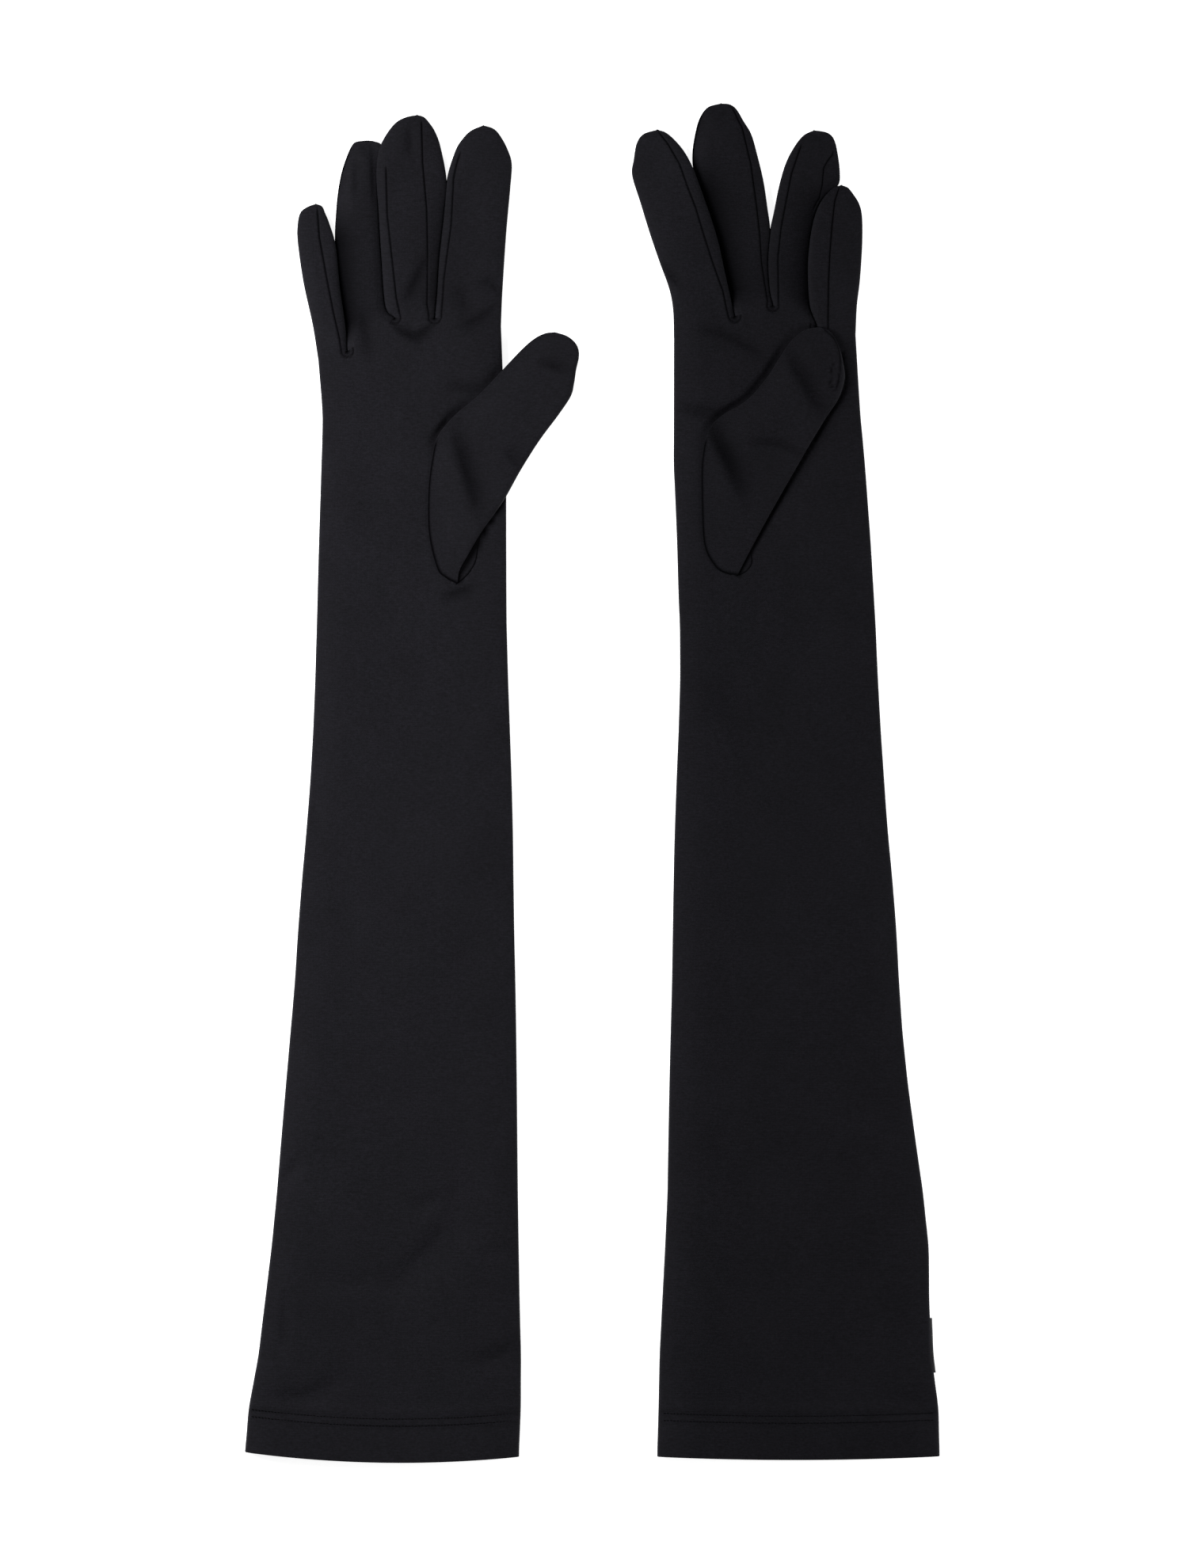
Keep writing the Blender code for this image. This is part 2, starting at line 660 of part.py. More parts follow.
def build_glove(side, glove):
    forearm_y = (ELBOW_Y + WRIST_Y) / 2
    forearm = fold_empty(f"{side}_forearm_middle", on_middle_line(glove, forearm_y, 0.0))
    elbow_place = on_middle_line(glove, ELBOW_Y, loft_at(ELBOW_Y))
    elbow = fold_empty(f"{side}_elbow_fold", elbow_place, forearm)
    wrist_place = on_middle_line(glove, WRIST_Y, LOFT / 2)
    wrist = fold_empty(f"{side}_wrist_fold", wrist_place, forearm)

    upper_sleeve(side, glove, elbow)
    hem_turn_up(side, glove, elbow)
    for name, height in HEM_ROWS.items():
        needle_row(side, glove, name, height, elbow)
    upper_ys = even_steps(HEM_Y + HEM_TOP, ELBOW_Y - FOLD_GAP, ROW_STEP)
    arm_seam(f"{side}_upper_arm_seam", glove, upper_ys, elbow)
    if side == "left":
        side_label(side, glove, elbow)

    forearm_sleeve(side, glove, forearm)
    forearm_ys = even_steps(ELBOW_Y + FOLD_GAP, WRIST_Y - WRIST_GAP, ROW_STEP)
    arm_seam(f"{side}_forearm_seam", glove, forearm_ys, forearm)

    hand(side, glove, wrist)
    hand_seam(side, glove, wrist)
    little_finger_gusset_root(side, glove, wrist)
    thumb_base(side, glove, wrist)

    for finger in finger_order(glove):
        y = glove["folds"][finger]
        edges = glove["fingers"][finger]
        x = sum(spline_point(edge, share_at_y(edge, y))[0] for edge in edges) / 2
        root = fold_empty(f"{side}_{finger}_fold", (x, y, LOFT), wrist)
        finger_with_fourchettes(side, glove, finger, root)

    left, right = thumb_fold(glove)
    x, y = (left + right) / 2
    root = fold_empty(f"{side}_thumb_fold", (x, y, THUMB_REST + THUMB_LOFT), wrist)
    thumb_stall(side, glove, root)


def main():
    clear_scene()
    for side, glove in GLOVES.items():
        build_glove(side, glove)


main()
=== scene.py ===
"""Looks for the pair of black opera gloves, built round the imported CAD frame.

Each glove is one continuous sheet of jersey. It is worked out as grids of points: one for the
sleeve and hand, one for each finger and one for the thumb. The sheet is then cut into the
pieces that a glove maker would sew (sleeve, hand, finger panels, fourchettes, thumb), which
meet exactly at their seams and at the lines where the glove folds.

Lengths are in millimetres in the frame's own axes, and become metres when a mesh is made.
Gloves lie palm up, with the fingers towards +Y.
"""

import json
import math

import bpy
import numpy as np
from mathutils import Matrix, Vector


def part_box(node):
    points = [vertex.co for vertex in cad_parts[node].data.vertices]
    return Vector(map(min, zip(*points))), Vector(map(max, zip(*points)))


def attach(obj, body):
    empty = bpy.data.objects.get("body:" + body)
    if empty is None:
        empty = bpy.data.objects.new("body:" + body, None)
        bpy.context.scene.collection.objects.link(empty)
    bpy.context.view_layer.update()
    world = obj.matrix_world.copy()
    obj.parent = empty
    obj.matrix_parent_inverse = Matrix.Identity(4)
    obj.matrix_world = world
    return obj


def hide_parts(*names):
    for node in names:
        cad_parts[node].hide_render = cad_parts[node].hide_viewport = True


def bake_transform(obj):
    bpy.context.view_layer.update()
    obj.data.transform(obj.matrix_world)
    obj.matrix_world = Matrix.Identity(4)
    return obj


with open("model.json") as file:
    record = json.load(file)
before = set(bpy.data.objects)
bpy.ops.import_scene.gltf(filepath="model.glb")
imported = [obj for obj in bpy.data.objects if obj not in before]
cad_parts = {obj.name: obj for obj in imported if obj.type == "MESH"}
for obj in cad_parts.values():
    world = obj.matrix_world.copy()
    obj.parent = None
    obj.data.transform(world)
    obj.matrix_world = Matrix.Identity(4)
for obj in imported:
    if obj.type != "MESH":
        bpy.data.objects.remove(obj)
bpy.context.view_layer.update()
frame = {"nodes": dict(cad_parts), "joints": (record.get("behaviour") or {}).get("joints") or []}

MM = 0.001
TUCK = 0.08  # how far a finger's side presses into its neighbour's
FABRIC = 0.5  # thickness of one layer of jersey
SIDE_BULGE = 0.08  # how far the fabric stands out at the middle of a side edge
EDGE_STEP = 0.35  # half the height of the fabric's turn at a side edge
SHARP_EDGE = 1.0  # an edge rises steeply over this much, to SHARP_SHARE of its height
SHARP_SHARE = 0.4
HAND_EDGE = 15.0  # how far in from a side edge a sleeve or hand reaches full height
CROTCH_SHADOW = 1.4
CROTCH_EDGE = 4.0  # the same round the bottom of a slit between two fingers
FLAT_BELOW = 0.35  # power of an edge's rise that gives the underside, which lies flatter
TIP_LOFT = 2.6  # height at a fingertip
CREASE_LEAN = 1.8  # how much wider a crease is on its right side
# Painted shade, standing in for the shadows in creases and on sides pressed under a neighbour.
CREASE_SHADE = 0.38  # how much a crease one millimetre deep darkens
PRESSED_SHADE = 0.54  # the same for a finger's side pressed down by its neighbour
PRESSED_WIDTH = 9.0
# Painted shade that darkens the left glove from NAP_START rightwards, over NAP_REACH.
NAP_PAINTED_SHADE = 0.24  # the left glove's nap leans away from the light, beyond its index finger
NAP_START = 30.0
NAP_REACH = 24.0
ROW_SLEEVE = 2.2  # spacing of rows along a sleeve
ROW_HAND = 1.05
ROW_FINGER = 0.95

SIDES = ("right", "left")
JOINTS = {joint["name"]: joint for joint in frame["joints"]}


def joint_place(name):
    """A joint's pivot in millimetres."""
    return np.array(JOINTS[name]["pos_m"]) / MM


def node_box(name):
    low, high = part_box(name)
    return np.array(low) / MM, np.array(high) / MM


HEM_LINE = node_box("left_upper_sleeve")[0][1]
ELBOW_LINE = joint_place("left_elbow_fold")[1]
WRIST_LINE = joint_place("left_wrist_fold")[1]
HAND_LOFT = node_box("left_hand")[1][2]
HEM_LOFT = node_box("left_upper_sleeve")[1][2]

# A pressed-down side is also painted darker, standing in for its neighbour's shadow.
# Each finger's sides start at the crotch it shares with its neighbour and end at its tip.
# "edges" is (radius, lift) of the left side and of the right side: a side with a wide radius
# and a negative lift is pressed down under its neighbour, and a positive lift lies over it.
# "seams" are the palm-side seams of the fourchettes, from the tip to the root.
GLOVES = {
    "right": {
        "fingers": {
            "little": {
                "left": [(-122.3, 188.0), (-124.8, 203.6), (-128.9, 222.5), (-131.4, 240.0),
                         (-131.5, 248.0), (-130.2, 253.6), (-126.8, 256.2), (-123.4, 257.4)],
                "right": [(-109.4, 192.0), (-110.6, 204.0), (-113.0, 221.0), (-114.8, 239.0),
                          (-117.7, 249.0), (-119.4, 253.2), (-120.7, 256.2), (-123.4, 257.4)],
                "edges": ((3.2, 0.0), (2.6, 0.6)),
                "seams": {"right": [(-122.7, 255.4), (-121.8, 242.7), (-118.6, 224.7),
                                    (-115.6, 208.9), (-112.8, 196.2)]},
            },
            "ring": {
                "left": [(-109.4, 192.0), (-110.6, 204.0), (-113.0, 221.0), (-114.8, 239.0),
                         (-114.0, 257.8), (-112.1, 270.2), (-109.3, 279.0), (-106.8, 284.0),
                         (-104.4, 285.2), (-100.0, 285.3)],
                "right": [(-88.4, 206.8), (-92.6, 212.0), (-94.4, 234.0), (-95.6, 255.4),
                          (-96.4, 270.0), (-95.0, 278.5), (-93.9, 282.4), (-95.6, 284.6),
                          (-100.0, 285.3)],
                "edges": ((9.0, -1.7), (2.2, -0.3)),
                "seams": {},
            },
            "middle": {
                "left": [(-88.4, 206.8), (-92.6, 212.0), (-94.4, 234.0), (-95.6, 255.4),
                         (-96.4, 270.0), (-95.7, 279.0), (-93.3, 286.0), (-88.5, 292.8),
                         (-83.6, 295.8), (-78.4, 296.9)],
                "right": [(-70.6, 206.8), (-69.6, 218.0), (-68.6, 234.0), (-66.6, 252.0),
                          (-65.4, 267.0), (-68.1, 282.5), (-70.6, 289.5), (-73.0, 293.2),
                          (-75.4, 295.9), (-78.4, 296.9)],
                "edges": ((2.6, -0.2), (2.2, -0.4)),
                "seams": {"left": [(-92.2, 272.8), (-91.6, 251.9), (-89.6, 233.9),
                                   (-87.6, 216.0), (-86.4, 210.5)],
                          "right": [(-76.4, 294.5), (-75.9, 276.1), (-74.1, 255.4),
                                    (-73.7, 234.3), (-74.0, 213.1)]},
            },
            "index": {
                "left": [(-70.6, 206.8), (-69.6, 218.0), (-68.6, 234.0), (-66.6, 252.0),
                         (-65.0, 268.5), (-61.4, 280.7), (-58.3, 286.0), (-54.4, 289.9),
                         (-49.0, 292.3)],
                "right": [(-41.2, 203.0), (-40.6, 217.7), (-38.9, 243.8), (-37.1, 264.0),
                          (-36.4, 275.0), (-38.2, 281.4), (-41.0, 286.8), (-44.2, 290.6),
                          (-49.0, 292.3)],
                "edges": ((2.2, -0.4), (3.4, 0.0)),
                "seams": {"left": [(-60.0, 279.7), (-62.1, 267.7), (-63.2, 246.9),
                                   (-64.9, 234.3), (-67.1, 217.4), (-68.1, 210.5)]},
            },
        },
        "hem": (-297.2, -301.8, -299.2),
        "thumb": {
            "left": [(-60.6, 88.4), (-65.8, 91.2), (-69.6, 95.6), (-73.2, 111.0), (-73.4, 130.0),
                     (-71.6, 145.0), (-69.0, 154.4), (-61.4, 163.6), (-53.8, 169.8),
                     (-46.4, 177.0), (-39.6, 184.4), (-31.5, 193.0), (-26.2, 197.5),
                     (-21.6, 199.8), (-17.2, 200.4)],
            "right": [(-60.6, 88.4), (-59.7, 94.3), (-56.3, 100.6), (-53.0, 106.5),
                      (-49.6, 112.0), (-44.5, 119.1), (-39.5, 126.3), (-32.2, 139.4),
                      (-24.1, 152.2),
                      (-15.7, 163.5), (-10.2, 171.8), (-8.7, 177.5), (-7.8, 183.5),
                      (-6.5, 190.0), (-7.6, 194.8), (-11.6, 198.5), (-17.2, 200.4)],
        },
        "thumb_hole": [(-60.6, 88.2), (-55.5, 92.6), (-52.3, 97.8), (-51.2, 103.4),
                       (-50.8, 107.4), (-49.4, 111.0)],
        "thumb_gap_shadow": ([(-60.2, 89.6), (-58.6, 94.5), (-55.2, 100.2), (-52.0, 105.6),
                       (-49.0, 111.0), (-44.0, 119.2), (-38.9, 126.8)],
                      (1.0, 2.0, 2.3, 1.8, 0.9, 0.7, 0.6)),
        "creases": [
            ([(-88.5, 204.4), (-84.0, 200.4), (-78.4, 199.2), (-70.0, 203.8)], 1.9, 1.5),
            ([(-51.5, 222.0), (-46.5, 222.6), (-41.0, 216.0)], 1.6, 0.9),
            ([(-58.4, 203.2), (-51.0, 206.8), (-41.0, 213.6)], 1.9, 1.2),
            ([(-60.0, 222.0), (-57.6, 206.0)], 2.4, 0.7),
            ([(-74.5, 234.0), (-83.6, 214.5)], 2.0, 1.2),
            ([(-82.0, 291.0), (-82.6, 279.4)], 1.4, 0.9),
            ([(-98.4, 284.0), (-98.0, 273.0), (-97.4, 258.0)], 1.3, 0.8),
            ([(-105.6, 278.0), (-106.2, 260.0)], 1.4, 0.8),
            ([(-103.0, 208.0), (-99.6, 190.0)], 2.4, 0.8),
            ([(-64.0, 176.8), (-46.0, 174.4)], 1.8, 0.9),
            ([(-71.5, 152.5), (-66.0, 159.5), (-61.0, 164.6), (-55.0, 169.6)], 2.0, 1.3),
            ([(-48.5, 176.0), (-40.5, 185.6)], 1.6, 0.8),
            ([(-66.6, 82.6), (-53.0, 87.0)], 1.8, 1.1),
            ([(-93.0, -227.0), (-77.0, -211.5), (-66.0, -199.0), (-60.0, -183.0)], 5.5, 1.4),
            ([(-126.0, -220.0), (-108.0, -222.0), (-90.0, -218.0)], 3.5, 0.5),
            ([(-82.0, -188.0), (-64.0, -184.0)], 2.6, 0.8),
            ([(-53.0, -258.0), (-44.0, -256.0), (-33.0, -249.0)], 4.0, 1.7),
            ([(-50.0, -211.0), (-39.0, -206.0)], 3.0, 0.7),
            ([(-146.0, -274.0), (-130.0, -273.5), (-116.0, -267.0)], 3.5, 1.1),
            ([(-136.4, -226.0), (-138.4, -254.0)], 2.4, 0.6),
            ([(-80.0, -246.0), (-67.0, -238.0)], 3.0, 0.4),
            ([(-108.9, -187.0), (-96.0, -200.0), (-80.8, -226.0)], 5.0, 0.6),
            ([(-104.0, -236.0), (-84.0, -252.0)], 6.0, 0.4),
            ([(-128.4, -7.6), (-121.5, -20.0)], 2.2, 0.6),
            ([(-140.0, -178.0), (-131.0, -168.0)], 2.6, 0.9),
            ([(-120.0, -262.0), (-108.0, -270.0)], 5.0, 0.4),
        ],
        "thumb_creases": [
            ([(-61.5, 157.0), (-57.0, 141.0), (-50.6, 120.0)], 3.2, 1.6),
            ([(-23.5, 187.4), (-10.8, 183.6)], 2.0, 0.9),
            ([(-39.0, 148.0), (-32.0, 140.0)], 2.6, 0.8),
            ([(-63.0, 122.0), (-61.5, 108.0)], 2.8, -0.35),
        ],
        "thumb_seams": [],
    },
    "left": {
        "fingers": {
            "index": {
                "left": [(35.8, 197.0), (35.4, 210.0), (33.7, 219.5), (29.4, 231.5),
                         (25.2, 243.8), (20.9, 257.8), (17.2, 270.0), (17.9, 277.0),
                         (19.2, 284.2), (22.2, 288.4), (28.2, 290.3)],
                "right": [(62.8, 207.5), (61.6, 212.0), (58.0, 228.0), (55.6, 239.2),
                          (52.4, 250.1), (48.2, 262.1), (44.2, 273.0), (40.2, 280.6),
                          (35.7, 286.0), (31.8, 289.2), (28.2, 290.3)],
                "edges": ((3.4, 0.0), (2.4, 1.0)),
                "seams": {"right": [(29.0, 289.5), (32.9, 284.2), (38.3, 274.0),
                                    (41.6, 264.2), (45.4, 254.0), (48.6, 243.0),
                                    (52.6, 230.0), (57.2, 216.0), (59.8, 210.5)]},
            },
            "middle": {
                "left": [(62.8, 207.5), (61.6, 212.0), (58.0, 228.0), (55.6, 239.2),
                         (52.4, 250.1), (48.2, 262.1), (44.6, 272.0), (44.1, 280.0),
                         (45.2, 288.0), (47.2, 295.2), (50.9, 300.3), (56.6, 302.0)],
                "right": [(79.7, 212.4), (78.2, 219.0), (77.4, 232.0), (78.4, 245.0),
                          (77.1, 256.0), (75.4, 267.4), (72.8, 278.5), (70.0, 288.2),
                          (66.5, 294.2), (63.4, 299.4), (60.4, 301.6), (56.6, 302.0)],
                "edges": ((9.0, -1.8), (2.6, -0.3)),
                "seams": {"right": [(62.5, 300.4), (66.0, 290.9), (69.9, 274.0),
                                    (72.4, 256.0), (73.9, 242.7), (74.6, 230.0),
                                    (76.2, 219.0), (77.4, 214.5)]},
            },
            "ring": {
                "left": [(79.7, 212.4), (78.2, 219.0), (77.4, 232.0), (78.5, 245.0),
                         (80.4, 254.3), (82.5, 264.9), (85.4, 275.0), (89.2, 282.5),
                         (93.4, 287.8), (98.0, 290.1)],
                "right": [(99.1, 203.1), (96.2, 213.0), (95.4, 228.0), (96.1, 239.2),
                          (98.0, 250.1), (100.8, 257.5), (105.4, 263.0), (108.9, 266.2),
                          (109.3, 271.9), (108.4, 279.5), (106.8, 286.0), (103.8, 289.0),
                          (98.0, 290.1)],
                "edges": ((2.6, -0.3), (7.0, -1.1)),
                "seams": {"left": [(92.4, 283.6), (88.2, 270.2), (85.7, 258.2), (83.4, 245.7),
                                   (82.0, 231.8), (82.2, 216.5)],
                          "right": [(107.2, 280.7), (104.4, 277.6), (102.3, 274.0),
                                    (101.6, 266.4), (99.6, 258.0)]},
            },
            "little": {
                "left": [(99.1, 203.1), (96.2, 213.0), (95.4, 228.0), (96.1, 239.2),
                         (98.0, 250.1), (100.8, 257.5), (104.4, 262.4), (107.4, 264.9),
                         (110.4, 265.6)],
                "right": [(116.4, 199.0), (117.0, 212.0), (118.4, 224.0), (119.4, 240.0),
                          (119.3, 251.5), (118.0, 257.4), (115.3, 261.8), (113.0, 264.6),
                          (110.4, 265.6)],
                "edges": ((2.4, 1.0), (3.2, 0.0)),
                "seams": {"left": [(109.2, 264.5), (107.2, 258.2), (106.1, 248.0),
                                   (105.1, 235.3), (104.5, 222.5), (104.2, 200.0)]},
            },
        },
        "hem": (-299.2, -300.6, -299.0),
        "thumb": {
            "left": [(63.8, 92.2), (58.0, 93.3), (53.4, 97.0), (49.0, 107.0), (48.0, 130.0),
                     (48.4, 145.0), (51.4, 157.0), (57.6, 163.6), (67.8, 169.8),
                     (76.6, 179.4), (82.4, 188.4), (87.9, 196.4), (94.2, 201.4),
                     (100.2, 202.6)],
            "right": [(63.8, 92.2), (70.2, 104.6), (76.6, 116.4), (83.0, 127.8),
                      (89.4, 138.9), (95.8, 150.1), (103.0, 161.9), (108.8, 170.8),
                      (111.4, 178.7), (111.4, 183.6), (110.0, 190.8), (107.6, 197.0),
                      (104.6, 201.0), (100.2, 202.6)],
        },
        "thumb_hole": [(64.0, 91.8), (68.2, 93.8), (70.8, 97.6), (70.6, 102.0), (71.8, 107.4)],
        "thumb_gap_shadow": ([(64.6, 93.0), (70.8, 104.4), (77.2, 116.2), (90.0, 138.7), (103.6, 161.7),
                       (109.6, 170.8), (112.2, 179.0), (110.6, 191.5)],
                      (1.3, 1.4, 1.3, 1.1, 0.9, 0.8, 0.7, 0.5)),
        "creases": [
            ([(29.0, 230.6), (38.8, 221.0)], 1.8, 1.1),
            ([(46.0, 202.2), (60.0, 198.4), (76.0, 189.4)], 1.9, 1.0),
            ([(38.7, 166.4), (58.5, 164.0)], 2.2, 0.9),
            ([(51.5, 158.5), (57.0, 164.2), (66.0, 169.8), (72.0, 175.4)], 2.0, 1.2),
            ([(70.0, 173.4), (76.6, 181.4), (82.0, 189.6), (86.0, 195.6)], 2.4, 1.0),
            ([(51.9, 286.5), (51.9, 268.2)], 0.9, 0.5),
            ([(47.7, 48.8), (81.1, -11.1)], 4.5, 0.5),
            ([(118.0, -4.0), (127.0, -162.0)], 4.0, -0.5),
            ([(114.2, 137.0), (118.0, 89.0)], 3.0, -0.45),
            ([(60.0, -150.0), (92.0, -196.0)], 7.0, 0.5),
            ([(120.0, -232.0), (98.0, -262.0)], 6.0, 0.4),
            ([(130.0, -276.0), (154.0, -277.0)], 4.0, 1.2),
            ([(112.0, -110.0), (115.0, -185.0)], 3.5, 0.4),
        ],
        "thumb_creases": [
            ([(50.4, 163.0), (54.6, 152.0), (60.0, 143.0), (66.5, 127.0)], 3.4, 1.9),
            ([(86.2, 191.7), (101.8, 163.4)], 3.0, 1.3),
            ([(70.0, 152.0), (82.0, 151.0), (93.0, 145.8)], 1.5, 0.9),
            ([(55.0, 126.0), (58.0, 106.0)], 2.8, -0.35),
        ],
        "thumb_seams": [[(102.6, 201.6), (106.8, 197.6), (109.2, 191.6), (109.6, 184.0),
                         (108.2, 176.4), (106.6, 174.6), (105.2, 179.0), (106.2, 186.0)]],
    },
}

NEEDLE_ROWS = {"lower": 16.0, "upper": 19.1}  # height of each row of stitches above the hem
STITCH_PITCH = 1.45
STITCH_LENGTH = 1.05
STITCH_RADIUS = 0.17
TURN_UP = 20.6  # depth of the turned-up hem

# Numbers of cells across a finger: edge to seam, across a seam, between the seams
EDGE_CELLS = 5
SEAM_OFFSETS = (-0.9, -0.4, 0.0, 0.4, 0.9)
SEAM_DIPS = (0.04, -0.12, -0.5, -0.12, 0.04)
# Painted shade across a seam, darkening its groove.
SEAM_SHADES = (0.0, 0.4, 0.95, 0.4, 0.0)
MIDDLE_CELLS = 8
HIDDEN_SEAM = 20.0  # a seam that ends this far above the root dives under a neighbour
SEAM_MARGIN = 3.2  # where a side without a seam changes from edge cells to middle cells


# --- Curves and fields -------------------------------------------------------------------


def smooth(x):
    x = np.clip(x, 0.0, 1.0)
    return x * x * (3 - 2 * x)


def mix(a, b, share):
    return a + (b - a) * share


def roundness(x):
    """Height of a rounded edge, 0 to 1, at x edge radii in from the edge."""
    x = np.clip(x, 0.0, 1.0)
    return np.sqrt(1 - (1 - x) ** 2)


def edge_rise(away, reach):
    """Height of fabric at a side edge, 0 to 1: steep at the edge and then a low dome."""
    dome = 1 - (1 - np.clip(away / reach, 0, 1)) ** 2
    return SHARP_SHARE * roundness(away / SHARP_EDGE) + (1 - SHARP_SHARE) * dome


def smooth_curve(points, count=120):
    """Evenly spaced points along a smooth curve through the given ones."""
    p = np.array(points, float)
    p = np.vstack([2 * p[0] - p[1], p, 2 * p[-1] - p[-2]])
    t = np.linspace(0, len(points) - 1, 30 * (len(points) - 1) + 1)
    i = np.minimum(t.astype(int), len(points) - 2)
    f = (t - i)[:, None]
    a, b, c, d = p[i], p[i + 1], p[i + 2], p[i + 3]
    curve = 0.5 * (
        2 * b + (c - a) * f + (2 * a - 5 * b + 4 * c - d) * f**2 + (3 * b - a - 3 * c + d) * f**3
    )
    return resample(curve, np.linspace(0, 1, count))


def lengths(line):
    return np.r_[0, np.cumsum(np.linalg.norm(np.diff(line, axis=0), axis=1))]


def resample(line, shares):
    """Points at these shares of a line's length."""
    run = lengths(line)
    return np.column_stack([np.interp(shares * run[-1], run, line[:, k]) for k in (0, 1)])


def nearest(points, line):
    """Distance from each point to a line, the nearest place's share, and x beyond it."""
    a, step = line[:-1], np.diff(line, axis=0)
    near = np.full(len(points), np.inf)
    share, beyond = np.zeros(len(points)), np.zeros(len(points))
    for k in range(len(a)):
        t = np.clip(((points - a[k]) @ step[k]) / (step[k] @ step[k] + 1e-12), 0, 1)
        offset = points - a[k] - t[:, None] * step[k]
        gap = np.linalg.norm(offset, axis=1)
        closer = gap < near
        near[closer] = gap[closer]
        share[closer] = (k + t[closer]) / len(a)
        beyond[closer] = offset[closer, 0]
    return near, share, beyond


def distance_to(points, line):
    return nearest(points, line)[0]


def drawn_line(points, line, width):
    """1 on a thin line and 0 away from it. The width may change along the line."""
    near, share, _ = nearest(points, smooth_curve(line))
    if isinstance(width, tuple):
        width = np.interp(share, np.linspace(0, 1, len(width)), width)
    return np.exp(-((near / width) ** 2))


def soft_noise(points, cell, seed):
    """Smooth noise between -1 and 1 on a lattice of cells of this size (across, along)."""
    lattice = np.random.default_rng(seed).uniform(-1, 1, (96, 96))
    place = points / np.array(cell) + 40.0
    low = np.floor(place).astype(int)
    f = smooth(place - low)
    x, y = low[:, 0] % 95, low[:, 1] % 95
    bottom = mix(lattice[x, y], lattice[x + 1, y], f[:, 0])
    top = mix(lattice[x, y + 1], lattice[x + 1, y + 1], f[:, 0])
    return mix(bottom, top, f[:, 1])


def crease_depth(points, creases):
    """How far creases press the fabric in. Each is steep on its left side and easy on its right."""
    depth = np.zeros(len(points))
    for line, width, amount in creases:
        near, share, beyond = nearest(points, smooth_curve(line, 24))
        fade = np.sin(math.pi * mix(0.04, 0.96, share)) ** 0.6
        spread = width * mix(0.8, CREASE_LEAN, smooth(beyond / width + 0.5))
        depth += amount * fade * np.exp(-((near / spread) ** 2))
    return depth


# --- The sheet ---------------------------------------------------------------------------


def cad_sides(nodes, y):
    """Lowest and highest x of some CAD nodes where the plane at y cuts them."""
    found = []
    for name in nodes:
        mesh = frame["nodes"][name].data
        points = np.array([v.co for v in mesh.vertices]) / MM
        ends = points[np.array([e.vertices[:] for e in mesh.edges])]
        y0, y1 = ends[:, 0, 1], ends[:, 1, 1]
        crossing = (y0 - y) * (y1 - y) < 0
        share = (y - y0[crossing]) / (y1 - y0)[crossing]
        found.append(mix(ends[crossing, 0, 0], ends[crossing, 1, 0], share))
    found = np.concatenate(found)
    return found.min(), found.max()


def sleeve_sides(side, glove):
    """The left and right side lines of a glove from its hem to its outer fingers' roots."""
    nodes = [f"{side}_upper_sleeve", f"{side}_forearm_sleeve", f"{side}_hand"]
    stations = [HEM_LINE + 3.5, *range(-290, 172, 12)]
    cuts = [(y, *cad_sides(nodes, y)) for y in stations]
    first, last = list(glove["fingers"].values())[0], list(glove["fingers"].values())[-1]
    lines = []
    for column, finger_side in ((1, first["left"]), (2, last["right"])):
        points = [(HEM_LINE - 4, cuts[0][column])] + [(cut[0], cut[column]) for cut in cuts]
        points.append((finger_side[0][1], finger_side[0][0]))
        lines.append(smooth_curve(points, 400))
    return lines


def side_at(line, y):
    return np.interp(y, line[:, 0], line[:, 1])


def half_height(y):
    """Half the height of the flattened sleeve or hand."""
    rise = smooth((WRIST_LINE - 30 - y) / (WRIST_LINE - 30 - HEM_LINE))
    return mix(HAND_LOFT, HEM_LOFT, rise) / 2


def finger_sides(finger, shared):
    """A finger's two side lines. Neighbouring fingers press into each other slightly."""
    lines = []
    for name, inward in (("left", 1), ("right", -1)):
        line = smooth_curve(finger[name], 140)
        run = lengths(line)
        if name in shared:
            line[:, 0] -= inward * TUCK * smooth(run / 3) * smooth((run[-1] - run) / 8)
        lines.append(line)
    return lines


def seam_share(finger, name, row_y, left_x, right_x, root_gap=2.6):
    """Where a seam crosses each row of a finger, as a share of the row, and if it is real."""
    width = np.maximum(right_x - left_x, 0.01)
    margin = np.full(len(row_y), SEAM_MARGIN) / width
    share = margin if name == "left" else 1 - margin
    real = np.zeros(len(row_y))
    if name in finger["seams"]:
        seam = np.array(finger["seams"][name])[::-1]
        x = np.interp(row_y, seam[:, 1], seam[:, 0])
        root = seam[0, 1]
        crotch_x = left_x[0] + root_gap if name == "left" else right_x[0] - root_gap
        below = smooth((root - row_y) / max(root - row_y[0], 0.1))
        share = (mix(x, crotch_x, np.where(row_y < root, below, 0)) - left_x) / width
        real = smooth((seam[-1, 1] + 1.5 - row_y) / 3)
        if root - row_y[0] > HIDDEN_SEAM:
            real *= smooth((row_y - root) / 6 + 1)
    low, high = (0.1, 0.44) if name == "left" else (0.56, 0.9)
    return np.clip(share, low, high), real


def finger_columns(width, left_seam, right_seam):
    """Shares across one row of a finger: edge, seam, middle, seam, edge."""
    spread = min(1.0, 0.075 * width / 0.9) / width
    left = left_seam + spread * np.array(SEAM_OFFSETS)
    right = right_seam + spread * np.array(SEAM_OFFSETS)
    turn = 1 - np.cos(np.linspace(0, math.pi / 2, EDGE_CELLS + 1)[:-1])
    middle = np.linspace(left[-1], right[0], MIDDLE_CELLS + 1)[1:-1]
    return np.concatenate([turn * left[0], left, middle, right, 1 - (turn * (1 - right[-1]))[::-1]])


